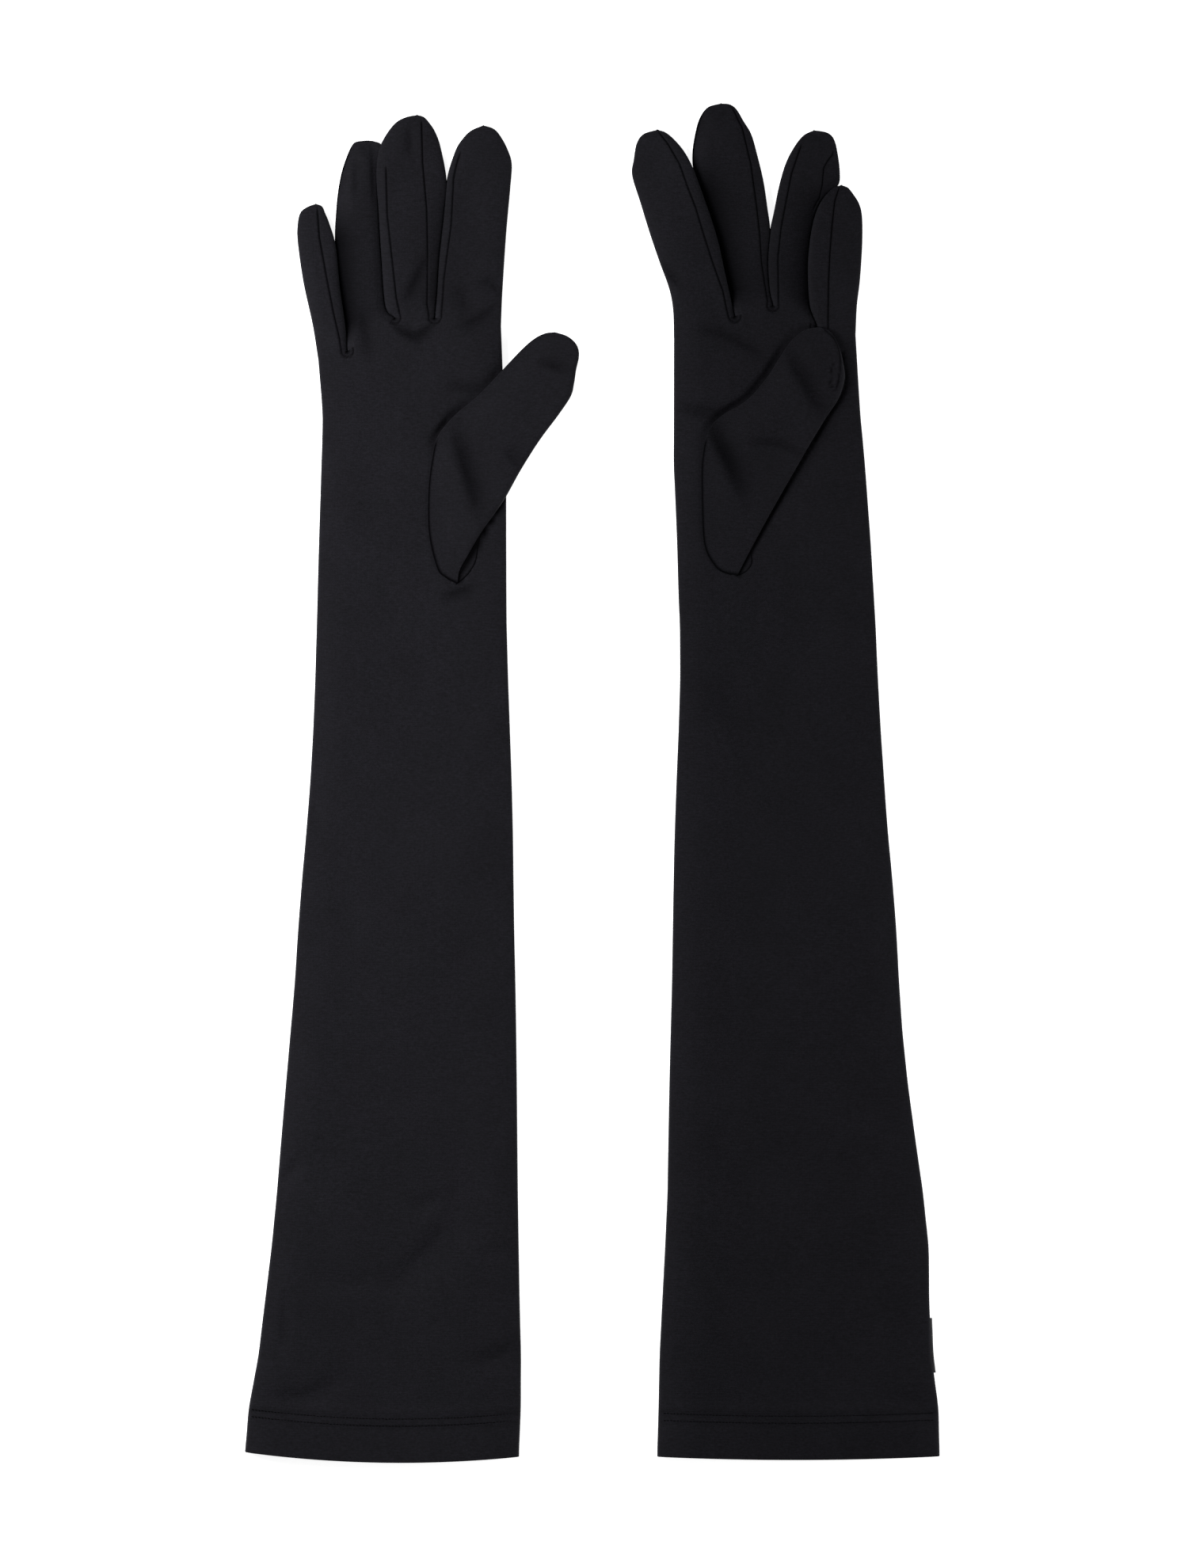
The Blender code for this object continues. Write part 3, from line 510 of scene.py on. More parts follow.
COLUMNS = 2 * EDGE_CELLS + 2 * len(SEAM_OFFSETS) + MIDDLE_CELLS - 1
LEFT_SEAM = EDGE_CELLS + len(SEAM_OFFSETS) // 2
RIGHT_SEAM = COLUMNS - 1 - LEFT_SEAM


def seam_profile(values, left_real, right_real):
    """A value for each column of each row that follows the fourchette seams."""
    profile = np.zeros((len(left_real), COLUMNS))
    for k, value in enumerate(values):
        profile[:, EDGE_CELLS + k] = value * left_real
        profile[:, COLUMNS - 1 - EDGE_CELLS - k] = value * right_real
    return profile


def rings(flat, top, bottom):
    """Closed rings of points: the top from left to right, then back along the bottom.

    One more point stands at each side, between the top and the bottom and just outside them.
    """
    rows, columns = top.shape
    across = flat[:, -1] - flat[:, 0]
    outward = SIDE_BULGE * across / np.linalg.norm(across, axis=1)[:, None]
    middle = (top + bottom) / 2
    ring = np.zeros((rows, 2 * columns + 2, 3))
    ring[:, :columns, :2] = flat
    ring[:, :columns, 2] = top
    ring[:, columns, :2] = flat[:, -1] + outward
    ring[:, columns, 2] = middle[:, -1]
    ring[:, columns + 1:-1, :2] = flat[:, ::-1]
    ring[:, columns + 1:-1, 2] = bottom[:, ::-1]
    ring[:, -1, :2] = flat[:, 0] - outward
    ring[:, -1, 2] = middle[:, 0]
    return ring


def ring_values(values):
    """Values of the top columns, spread to all the points of their rings."""
    return np.hstack([values, values[:, -1:], values[:, ::-1], values[:, :1]])


class Grid:
    """Rows of rings of fabric. With tip, the last row is closed."""

    def __init__(self, flat, top, bottom, shade, tip=False):
        self.points = rings(flat, top, bottom)
        self.height = ring_values(top - bottom)
        self.shade = ring_values(shade)
        self.tip = tip

    def cells(self, start):
        """Faces, numbered from start, as (rows, ring columns, 4)."""
        rows, columns = self.points.shape[:2]
        index = start + np.arange(rows * columns).reshape(rows, columns)
        after = np.roll(index, -1, axis=1)
        return np.stack([index[:-1], after[:-1], after[1:], index[1:]], axis=2)

    def tip_faces(self, start):
        """Faces that join the top and the bottom along the last row."""
        rows, columns = self.points.shape[:2]
        first = start + (rows - 1) * columns
        half = columns // 2 - 1
        top = first + np.arange(half)
        bottom = first + columns - 2 - np.arange(half)
        faces = [list(face) for face in zip(top, top[1:], bottom[1:], bottom)]
        faces.append([top[-1], first + half, bottom[-1]])
        faces.append([top[0], bottom[0], first + columns - 1])
        return faces


def contact_top(glove, name, own):
    """How far up a finger's side touches its neighbour's: their highest shared point."""
    order = list(glove["fingers"])
    neighbour = glove["fingers"][order[order.index(name) + (1 if own == "right" else -1)]]
    other = neighbour["left" if own == "right" else "right"]
    return max(y for x, y in glove["fingers"][name][own] if (x, y) in other)


def finger_grid(glove, name):
    finger = glove["fingers"][name]
    order = list(glove["fingers"])
    outer = {"left": name == order[0], "right": name == order[-1]}
    left, right = finger_sides(finger, [own for own in outer if not outer[own]])
    length = lengths(left)[-1]
    count = int(length / ROW_FINGER)
    steps = np.linspace(0, 1, count + 1)
    shares = mix(steps, 1 - (1 - steps) ** 1.6, smooth((steps - 0.8) / 0.2))[:-1]
    shares = np.r_[shares, 0.9985]
    lefts, rights = resample(left, shares), resample(right, shares)
    row_y = (lefts[:, 1] + rights[:, 1]) / 2
    left_share, left_real = seam_share(finger, "left", row_y, lefts[:, 0], rights[:, 0])
    right_share, right_real = seam_share(finger, "right", row_y, lefts[:, 0], rights[:, 0])
    width = np.linalg.norm(rights - lefts, axis=1)
    across = np.array([
        finger_columns(max(w, 0.05), a, b) for w, a, b in zip(width, left_share, right_share)
    ])
    flat = lefts[:, None] + (rights - lefts)[:, None] * across[..., None]
    run = np.repeat(shares * length, COLUMNS)
    points = flat.reshape(-1, 2)
    rounding = np.ones(len(points))
    lift, pressed = np.zeros(len(points)), np.zeros(len(points))
    for own, line, (radius, rise) in zip(outer, (left, right), finger["edges"]):
        away = distance_to(points, line)
        reach = mix(HAND_EDGE if outer[own] else CROTCH_EDGE, 2.2 * radius, smooth(run / 18))
        rounding *= edge_rise(away, reach)
        middle = smooth(run / 12) * smooth((length - run) / 14)
        lift += rise * middle * np.exp(-((away / 5) ** 2))
        # A side pressed under its neighbour gets painted shade in place of the neighbour's shadow,
        # fading out above their highest shared point.
        if not outer[own]:
            above = points[:, 1] - contact_top(glove, name, own)
            under = middle * (1 - smooth(above / 22)) * np.exp(-((away / PRESSED_WIDTH) ** 2))
            pressed += max(-rise, 0) * under
    half = mix(HAND_LOFT, TIP_LOFT, smooth(run / length * 1.15 - 0.15) ** 1.5) / 2
    noise = soft_noise(points, (9, 14), 3) * 0.12 * rounding
    dips = seam_profile(SEAM_DIPS, left_real, right_real).reshape(-1)
    crease = crease_depth(points, glove["creases"]) * rounding
    top = half + EDGE_STEP + (half - EDGE_STEP) * rounding + lift + noise + dips - crease
    bottom = (half - EDGE_STEP) * (1 - rounding**FLAT_BELOW) + np.maximum(lift, -half / 3) * 0.6
    bottom = np.maximum(bottom - dips * 0.8, 0.05)
    top = np.maximum(top, bottom + 0.3).reshape(-1, COLUMNS)
    # Painted shade: in the seams' grooves, in creases and on sides pressed under a neighbour.
    shade = seam_profile(SEAM_SHADES, left_real, right_real)
    shade = np.maximum(shade, (CREASE_SHADE * crease + PRESSED_SHADE * pressed).reshape(shade.shape))
    grid = Grid(flat, top, bottom.reshape(-1, COLUMNS), shade, tip=True)
    grid.run = shares * length
    return grid


def join_root(finger, root):
    """Lets a finger start at the height where the hand's last row of points ends."""
    step = root[:, 2] - finger.points[0, :, 2]
    fade = 1 - smooth(finger.run / 7)
    finger.points[:, :, 2] += fade[:, None] * step


def body_grid(side, glove, fingers):
    """The sleeve and the hand: one grid from the hem to the fingers' first rows."""
    left_line, right_line = sleeve_sides(side, glove)
    order = list(glove["fingers"])
    root = np.vstack([fingers[order[0]].points[0, :1, :2]]
                     + [fingers[name].points[0, 1:COLUMNS, :2] for name in order])
    crotches = [fingers[name].points[0, COLUMNS - 1, :2] for name in order[:-1]]
    low, high = side_at(left_line, root[:, 1]), side_at(right_line, root[:, 1])
    low[0], high[-1] = root[0, 0], root[-1, 0]
    share = (root[:, 0] - low) / (high - low)

    sleeve_rows = int((WRIST_LINE - HEM_LINE) / ROW_SLEEVE)
    hand_rows = int((root[:, 1].mean() - WRIST_LINE) / ROW_HAND)
    near_root = np.linspace(0, 1, hand_rows + 1)[1:]
    near_root = mix(near_root, 1 - (1 - near_root) ** 1.5, smooth((near_root - 0.8) / 0.2))
    rows = [WRIST_LINE + 0 * share - (WRIST_LINE - HEM_LINE) * (1 - k / sleeve_rows)
            for k in range(sleeve_rows + 1)]
    rows += [WRIST_LINE + (root[:, 1] - WRIST_LINE) * q for q in near_root]
    y = np.array(rows)
    hem_left, hem_middle, hem_right = glove["hem"]
    hem = mix(hem_left, hem_right, share) + (
        hem_middle - (hem_left + hem_right) / 2) * 4 * share * (1 - share)
    y += (hem - HEM_LINE) * (1 - smooth((y - HEM_LINE) / 60))

    left, right = side_at(left_line, y), side_at(right_line, y)
    x = left + share * (right - left)
    x[-1] = root[:, 0]
    flat = np.stack([x, y], axis=2)
    points = flat.reshape(-1, 2)
    rounding = edge_rise(x - left, HAND_EDGE) * edge_rise(right - x, HAND_EDGE)
    rounding = rounding.reshape(-1)
    for crotch in crotches:
        rounding *= edge_rise(np.linalg.norm(points - crotch, axis=1), CROTCH_EDGE)
    rounding = rounding.reshape(x.shape)

    dip = crease_depth(points, glove["creases"])
    # Painted shade in the creases, fading out below y = 40 and gone below y = 10.
    shade = CREASE_SHADE * np.maximum(dip, 0) * (1 - smooth((40 - points[:, 1]) / 30))
    # A dip along the thumb's free edge, painted black as the shadow in the gap under it.
    gap = drawn_line(points, *glove["thumb_gap_shadow"])
    dip += 0.5 * gap
    shade = np.maximum(shade, gap)
    # Round each crotch: a seam's ring, sunk and painted with shade, and a painted shadow at the
    # bottom of the slit.
    for crotch, before, after in zip(crotches, order, order[1:]):
        away = np.linalg.norm(points - crotch, axis=1)
        side_of = np.where(points[:, 0] < crotch[0],
                           "right" in glove["fingers"][before]["seams"],
                           "left" in glove["fingers"][after]["seams"])
        below = smooth((crotch[1] + 4 - points[:, 1]) / 2) * np.maximum(side_of, away < 3.2)
        ring_line = np.exp(-(((away - 2.7) / 0.5) ** 2)) * below
        dip += 0.3 * ring_line
        shade = np.maximum(shade, 0.8 * ring_line)
        shade = np.maximum(shade, np.exp(-((away / CROTCH_SHADOW) ** 2)))
    above_hem = (y - hem).reshape(-1)
    # Grooves along the rows of stitches, painted with shade.
    for height in NEEDLE_ROWS.values():
        groove = np.exp(-(((above_hem - height) / 0.8) ** 2))
        dip += 0.28 * groove
        shade = np.maximum(shade, 0.22 * groove)
    dip -= 0.35 * (1 - smooth((above_hem - TURN_UP - 1.5) / 3))

    loose = 1 - smooth((points[:, 1] - 60) / 60)
    noise = soft_noise(points, (38, 70), 5) * 0.55 * loose
    noise += soft_noise(points, (17, 24), 6) * mix(0.16, 0.22, loose)
    noise += soft_noise(points, (7, 9), 7) * 0.05
    half = half_height(y)
    dip, noise = dip.reshape(x.shape), noise.reshape(x.shape)
    top = half + EDGE_STEP + (half - EDGE_STEP) * rounding + (noise - dip) * rounding
    bottom = (half - EDGE_STEP) * (1 - rounding**FLAT_BELOW)
    bottom = np.maximum(bottom + 0.5 * np.maximum(dip, 0) * rounding, 0.05)
    grid = Grid(flat, top, bottom, shade.reshape(x.shape))
    grid.above_hem = y - hem
    grid.wrist_row = sleeve_rows
    return grid


def join_fingers(glove, body, fingers):
    columns = body.points.shape[1] // 2 - 1
    for k, finger in enumerate(fingers.values()):
        first = k * (COLUMNS - 1)
        top = np.arange(first, first + COLUMNS)
        bottom = 2 * columns - top[::-1]
        last = body.points[-1]
        right, left = last[top[-1]].copy(), last[top[0]].copy()
        right[2] = (right[2] + last[bottom[0], 2]) / 2
        left[2] = (left[2] + last[bottom[-1], 2]) / 2
        join_root(finger, np.vstack([last[top], right, last[bottom], left]))


THUMB_OFFSETS = (0.0, 0.2, 0.42, 0.7, 1.1, 1.7, 2.5, 3.5, 4.8)
THUMB_MIDDLE = 22


def thumb_columns(width):
    """Shares across one row of the thumb, close together at its sides."""
    offsets = np.array(THUMB_OFFSETS) * min(1.0, width / 14.0) / width
    middle = np.linspace(offsets[-1], 1 - offsets[-1], THUMB_MIDDLE + 1)[1:-1]
    return np.concatenate([offsets, middle, 1 - offsets[::-1]])


def thumb_grid(side, glove):
    """The thumb. Its base is sewn level with the palm, and its stall lies over the palm."""
    left, right = (smooth_curve(glove["thumb"][name], 200) for name in ("left", "right"))
    steps = np.linspace(0, 1, int(lengths(left)[-1] / ROW_FINGER))
    shares = mix(steps, 1 - (1 - steps) ** 1.6, smooth((steps - 0.85) / 0.15))
    shares = np.clip(shares, 0.004, 0.9985)
    lefts, rights = resample(left, shares), resample(right, shares)
    width = np.linalg.norm(rights - lefts, axis=1)
    across = np.array([thumb_columns(w) for w in width])
    flat = lefts[:, None] + (rights - lefts)[:, None] * across[..., None]
    points = flat.reshape(-1, 2)
    columns = across.shape[1]
    share = np.repeat(shares, columns)

    sewn = 1 - smooth((share - 0.38) / 0.12)
    from_left, from_right = distance_to(points, left), distance_to(points, right)
    sewn_rise = smooth(from_left / 20.0)
    left_rise = mix(smooth(from_left / 13.0), sewn_rise, sewn)
    rounding = left_rise * roundness(from_right / 2.4)
    rest = mix(HAND_LOFT + 0.35, HAND_LOFT - 0.4, sewn)
    loft = np.interp(share, (0, 0.06, 0.2, 0.42, 0.75, 0.9, 1), (0.5, 1.0, 1.7, 3.0, 3.4, 3.1, 2.3))
    edge = rest + mix(0.9, 0.6, sewn) + 0.1
    crown = HAND_LOFT + loft * 0.98
    crease = crease_depth(points, glove["thumb_creases"])
    noise = soft_noise(points, (10, 13), 11) * 0.16
    top = edge + EDGE_STEP + (crown - edge - EDGE_STEP) * rounding
    top += noise * rounding - crease * np.minimum(rounding * 1.6, 1)
    bottom = np.minimum(edge - EDGE_STEP, mix(edge, rest, roundness(from_right / 2)))
    bottom = np.minimum(bottom, top - 0.4)
    # Painted shade along the sewn seam at the base's left side, in creases and in the tip's seams.
    shade = np.exp(-(((from_left - 0.35) / mix(0.85, 0.5, smooth(share * 3))) ** 2))
    shade *= smooth((0.5 - share) / 0.03)
    shade = np.maximum(shade, CREASE_SHADE * crease)
    for seam in glove["thumb_seams"]:
        line = drawn_line(points, seam, 0.4)
        top = top - 0.25 * line
        shade = np.maximum(shade, 0.8 * line)
    shape = across.shape
    grid = Grid(flat, top.reshape(shape), bottom.reshape(shape), shade.reshape(shape), tip=True)
    pivot, away = thumb_line(side)
    before = ((flat - pivot[:2]) @ away[:2]).max(axis=1) < 0
    grid.fold_row = int(np.argmin(before)) - 1
    return grid


def thumb_line(side):
    """The thumb's pivot and the level direction from its fold line towards its tip."""
    axis = np.array(JOINTS[f"{side}_thumb_fold"]["axis"])
    return joint_place(f"{side}_thumb_fold"), np.array([-axis[1], axis[0], 0.0])


def thumb_hole_grid(glove):
    """The far lip of the thumb's opening, which shows beside the thumb's free edge."""
    lip = smooth_curve(glove["thumb_hole"], 40)
    thumb = smooth_curve(glove["thumb"]["right"], 200)
    shares = np.linspace(0.0, 1.0, 40)
    reach = np.argmin(np.linalg.norm(thumb - lip[-1], axis=1)) / 199
    under = resample(thumb, shares * reach) - np.array([2.6, 0.0])
    lips = resample(lip, shares)
    columns = np.array([1, 0.93, 0.86, 0.78, 0.66, 0.5, 0.3, 0.0])[::-1]
    flat = under[:, None] + (lips - under)[:, None] * columns[None, :, None]
    away = distance_to(flat.reshape(-1, 2), lip).reshape(flat.shape[:2])
    top = HAND_LOFT - 0.1 + 0.5 * roundness(away / 1.4)
    gap = drawn_line(flat.reshape(-1, 2), *glove["thumb_gap_shadow"]).reshape(top.shape)
    # Painted shade along the lip's edge, and the painted shadow of the gap under the thumb's free
    # edge.
    shade = np.maximum(np.exp(-(((away - 0.3) / 0.65) ** 2)), gap)
    top = top - 0.4 * gap
    return Grid(flat, top, np.full(top.shape, HAND_LOFT - 0.6), shade, tip=True)


# --- Pieces ------------------------------------------------------------------------------


class Sheet:
    """Grids of fabric as one surface, with smooth normals across the places where they meet."""

    def __init__(self, grids):
        self.grids = grids
        self.start = {}
        total = 0
        for name, grid in grids.items():
            self.start[name] = total
            total += grid.points.shape[0] * grid.points.shape[1]
        self.points = np.vstack([grid.points.reshape(-1, 3) for grid in grids.values()])
        self.height = np.concatenate([grid.height.reshape(-1) for grid in grids.values()])
        shade = np.concatenate([grid.shade.reshape(-1) for grid in grids.values()])
        # Painted shade over the left glove beyond its index finger, where its nap leans away from
        # the light.
        self.shade = mix(shade, 1, NAP_PAINTED_SHADE * smooth((self.points[:, 0] - NAP_START) / NAP_REACH))
        quads = np.vstack([self.cells(name).reshape(-1, 4) for name in grids])
        self.normals = meeting_normals(self.points, quads)

    def cells(self, name):
        return self.grids[name].cells(self.start[name])

    def tip_faces(self, name):
        grid = self.grids[name]
        return grid.tip_faces(self.start[name]) if grid.tip else []


def meeting_normals(points, quads):
    """Vertex normals, shared by all the points that lie at the same place."""
    keys = np.round(points / 0.002).astype(np.int64)
    place = np.unique(keys, axis=0, return_inverse=True)[1].reshape(-1)
    corners = points[quads]
    facing = np.cross(corners[:, 2] - corners[:, 0], corners[:, 3] - corners[:, 1])
    total = np.zeros((place.max() + 1, 3))
    for corner in range(4):
        np.add.at(total, place[quads[:, corner]], facing)
    normals = total[place]
    return normals / (np.linalg.norm(normals, axis=1)[:, None] + 1e-12)


def cloth_piece(name, sheet, quads, others=(), materials=("black_jersey",), thickness=FABRIC):
    """A closed piece of fabric of some thickness under these faces of the sheet."""
    quads = quads.reshape(-1, 4)
    used = np.unique(np.concatenate([quads.reshape(-1)] + [np.array(f) for f in others]))
    local = np.zeros(len(sheet.points), int)
    local[used] = np.arange(len(used))
    faces = [list(face) for face in local[quads]] + [list(local[np.array(f)]) for f in others]
    outer, normals = sheet.points[used], sheet.normals[used]
    depth = np.minimum(thickness, 0.3 * sheet.height[used])
    inner = outer - normals * depth[:, None]
    count = len(used)
    edges = {(a, b) for face in faces for a, b in zip(face, face[1:] + face[:1])}
    rims = [[b, a, a + count, b + count] for a, b in sorted(edges) if (b, a) not in edges]
    backs = [[v + count for v in reversed(face)] for face in faces]
    mesh = bpy.data.meshes.new(name)
    mesh.from_pydata(np.vstack([outer, inner]) * MM, [], faces + backs + rims)
    for material in materials:
        mesh.materials.append(MATERIALS[material])
    if len(materials) > 1:
        index = np.zeros(len(mesh.polygons), int)
        index[len(faces):] = 1
        mesh.polygons.foreach_set("material_index", index)
    mesh.shade_smooth()
    mesh.normals_split_custom_set_from_vertices(np.vstack([normals, -normals]))
    shade = mesh.attributes.new("shade", "FLOAT", "POINT")
    shade.data.foreach_set("value", np.tile(sheet.shade[used], 2).astype(np.float32))
    return linked(name, mesh)


def linked(name, mesh):
    obj = bpy.data.objects.new(name, mesh)
    bpy.context.scene.collection.objects.link(obj)
    return obj


def solid_piece(name, verts, faces, material):
    """A plain closed mesh from points in millimetres."""
    mesh = bpy.data.meshes.new(name)
    mesh.from_pydata(np.array(verts) * MM, [], faces)
    mesh.materials.append(MATERIALS[material])
    mesh.shade_smooth()
    return linked(name, mesh)


def fold(piece):
    """Bakes a piece's transform into its mesh."""
    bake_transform(piece)


def cut_sleeve(side, sheet):
    cells = sheet.cells("body")[:sheet.grids["body"].wrist_row]
    sleeve = cloth_piece(f"{side}_sleeve", sheet, cells, (), ("black_jersey", "black_jersey_inside"))
    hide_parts(f"{side}_upper_sleeve", f"{side}_forearm_sleeve")
    fold(sleeve)


def cut_hand(side, sheet):
    cells = sheet.cells("body")[sheet.grids["body"].wrist_row:]
    hand = cloth_piece(f"{side}_palm_and_back", sheet, cells)
    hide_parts(f"{side}_hand", f"{side}_little_finger_gusset_root")
    fold(hand)


def cut_finger(side, glove, name, sheet):
    """A finger's front and back panels, and the fourchettes between them."""
    cells = sheet.cells(name)
    rows, ring = cells.shape[:2]
    order = list(glove["fingers"])
    strips = {}
    if name != order[0]:
        strips["left_side"] = (range(2 * COLUMNS - LEFT_SEAM, ring), range(LEFT_SEAM))
    if name != order[-1]:
        strips["right_side"] = (range(RIGHT_SEAM, 2 * COLUMNS - RIGHT_SEAM),)
    panel = np.ones((rows, ring), bool)
    pieces = []
    for strip, ranges in strips.items():
        columns = np.concatenate([np.array(r) for r in ranges])
        seam = glove["fingers"][name]["seams"].get(strip.split("_")[0])
        middle_y = sheet.grids[name].points[:-1, COLUMNS // 2, 1]
        end = int(np.searchsorted(middle_y, seam[0][1] - 1)) if seam else int(rows * 0.88)
        end = min(end, rows - 3)
        mask = np.zeros((rows, ring), bool)
        mask[np.ix_(np.arange(end), columns)] = True
        panel &= ~mask
        node = f"{side}_{name}_fourchette_{strip}"
        piece = cloth_piece(node.replace("fourchette", "side_strip"), sheet, cells[mask])
        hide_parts(node)
        pieces.append(piece)
    finger = cloth_piece(f"{side}_{name}_panels", sheet, cells[panel], sheet.tip_faces(name))
    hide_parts(f"{side}_{name}_finger")
    for piece in pieces + [finger]:
        fold(piece)


def cut_thumb(side, sheet):
    cells = sheet.cells("thumb")
    row = sheet.grids["thumb"].fold_row
    base = cloth_piece(f"{side}_thumb_root", sheet, cells[:row])
    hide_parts(f"{side}_thumb_base")
    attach(base, f"{side}_hand")
    stall = cloth_piece(f"{side}_thumb", sheet, cells[row:], sheet.tip_faces("thumb"))
    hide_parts(f"{side}_thumb_stall")
    fold(stall)
    lip = cloth_piece(f"{side}_thumb_opening_lip", sheet, sheet.cells("hole"),
                      sheet.tip_faces("hole"))
    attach(lip, f"{side}_hand")


# --- Hem, stitches, seams and label ------------------------------------------------------


def offset_ring(ring, amount):
    """A ring drawn in by this much, square to its outline."""
    along = np.roll(ring, -1, axis=0) - np.roll(ring, 1, axis=0)
    inward = np.stack([along[:, 2], 0 * along[:, 1], -along[:, 0]], axis=1)
    inward /= np.linalg.norm(inward, axis=1)[:, None]
    return ring + inward * amount


def turn_up_grid(body):
    """The hem's inner layer and its rounded fold at the opening."""
    first = body.points[0]
    rows = []
    heights = np.r_[np.linspace(TURN_UP, 1.0, 9), 0.2]
    for height in heights:
        row = int(np.argmin(np.abs(body.above_hem.mean(axis=1) - height)))
        ring = body.points[row].copy()
        ring[:, 1] = first[:, 1] + height
        rows.append(offset_ring(ring, 1.15))
    for angle in (30, 60, 90, 120, 150, 180):
        turn = math.radians(angle)
        ring = offset_ring(first, 0.575 * (1 + math.cos(turn)))
        ring[:, 1] -= 0.45 * math.sin(turn)
        rows.append(ring)
    rows[-1] = first.copy()
    grid = Grid.__new__(Grid)
    grid.points = np.array(rows)
    grid.height = np.tile(np.maximum(body.height[0], 1.4), (len(rows), 1))
    grid.shade = np.zeros(grid.height.shape)
    grid.tip = False
    return grid


def surface_height(body, share, height, top=True):
    """Height of the sleeve's face at this share across and this far above the hem."""
    columns = body.points.shape[1] // 2 - 1
    above = body.above_hem.mean(axis=1)
    row = int(np.searchsorted(above, height))
    z = []
    for k in (row - 1, row):
        flat = body.points[k, :columns, 0]
        faces = body.points[k, :columns, 2] if top else body.points[k, columns + 1:-1, 2][::-1]
        z.append(np.interp(mix(flat[0], flat[-1], share), flat, faces))
    return mix(z[0], z[1], (height - above[row - 1]) / (above[row] - above[row - 1]))


def stitch(centre, along, radius, length):
    """One stitch: a small capsule with six sides."""
    verts, faces = [], []
    stations = ((-0.5, 0.45), (-0.36, 1.0), (0.36, 1.0), (0.5, 0.45))
    for place, scale in stations:
        for k in range(6):
            turn = k * math.pi / 3
            side = np.array([0, math.cos(turn), math.sin(turn)]) * radius * scale
            verts.append(centre + along * place * length + side)
    for ring in range(3):
        for k in range(6):
            a, b = ring * 6 + k, ring * 6 + (k + 1) % 6
            faces.append([a, b, b + 6, a + 6])
    faces += [list(range(5, -1, -1)), list(range(18, 24))]
    return verts, faces


def needle_row(side, body, name, height):
    """A row of stitches on both faces of the hem."""
    hem = body.points[0, :body.points.shape[1] // 2 - 1]
    width = hem[-1, 0] - hem[0, 0]
    count = int((width - 5) / STITCH_PITCH)
    verts, faces = [], []
    for face in (True, False):
        for k in range(count):
            share = (2.5 + (k + 0.5) * STITCH_PITCH) / width
            x = mix(hem[0, 0], hem[-1, 0], share)
            y = np.interp(x, hem[:, 0], hem[:, 1]) + height
            ahead = np.interp(x + 1, hem[:, 0], hem[:, 1]) + height
            z = surface_height(body, share, height, face) + (0.02 if face else -0.02)
            along = np.array([1.0, ahead - y, 0.0])
            jitter = 0.06 * math.sin(k * 2.4 + height)
            v, f = stitch(np.array([x, y + jitter, z]), along, STITCH_RADIUS, STITCH_LENGTH)
            faces += [[i + len(verts) for i in corner] for corner in f]
            verts += v
    row = solid_piece(f"{side}_needle_row_{name}", verts, faces, "black_thread")
    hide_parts(f"{side}_hem_thread_{name}")
    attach(row, f"{side}_upper_arm")


def seam_allowance(side, glove, body, name, nodes, rows):
    """The overlocked edges of the long side seam, which lie inside the glove."""
    columns = body.points.shape[1] // 2 - 1
    outer_left = list(glove["fingers"])[0] == "little"
    edge, inward = (0, 1) if outer_left else (columns - 1, -1)
    section = [(0.0, -0.35), (0.0, 0.35), (2.2, 0.5), (4.0, 0.3), (4.0, -0.3), (2.2, -0.5)]
    verts, faces = [], []
    chosen = range(*rows)
    for k, row in enumerate(chosen):
        x, y = body.points[row, edge, :2]
        z = (body.points[row, edge, 2] + body.points[row, 2 * columns - edge, 2]) / 2
        wave = 0.12 * math.sin(y * 2.1)
        verts += [(x + inward * (1.3 + a), y, z + b + wave * a / 4) for a, b in section]
    size = len(section)
    for k in range(len(chosen) - 1):
        for i in range(size):
            a, b = k * size + i, k * size + (i + 1) % size
            faces.append([a, b, b + size, a + size][::inward])
    last = (len(chosen) - 1) * size
    faces += [list(range(size))[::-inward], [last + i for i in range(size)][::inward]]
    seam = solid_piece(f"{side}_{name}", verts, faces, "black_thread")
    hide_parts(*nodes)
    fold(seam)


def side_label(body):
    """A blank folded tape sewn into the side seam near the opening."""
    low, high = node_box("left_side_label")
    columns = body.points.shape[1] // 2 - 1
    middle = (low[2] + high[2]) / 2
    profile = [(-2.0, 0.32), (0.2, 0.34), (0.7, 0.26), (1.0, 0.0), (0.7, -0.26), (0.2, -0.34),
               (-2.0, -0.32)]
    verts, faces = [], []
    ys = np.linspace(low[1], high[1], 40)
    for y in ys:
        edge = np.interp(y, body.points[:, columns - 1, 1], body.points[:, columns - 1, 0])
        curl = 0.15 * math.sin((y - low[1]) / 5.0)
        verts += [(edge + a, y, middle + b + curl * a / 2) for a, b in profile]
    size = len(profile)
    for k in range(len(ys) - 1):
        for i in range(size):
            a, b = k * size + i, k * size + (i + 1) % size
            faces.append([a, a + size, b + size, b])
    last = (len(ys) - 1) * size
    faces += [list(range(size)), [last + i for i in reversed(range(size))]]
    label = solid_piece("left_blank_side_label", verts, faces, "black_label_tape")
    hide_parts("left_side_label")
    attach(label, "left_upper_arm")


# --- Materials ---------------------------------------------------------------------------


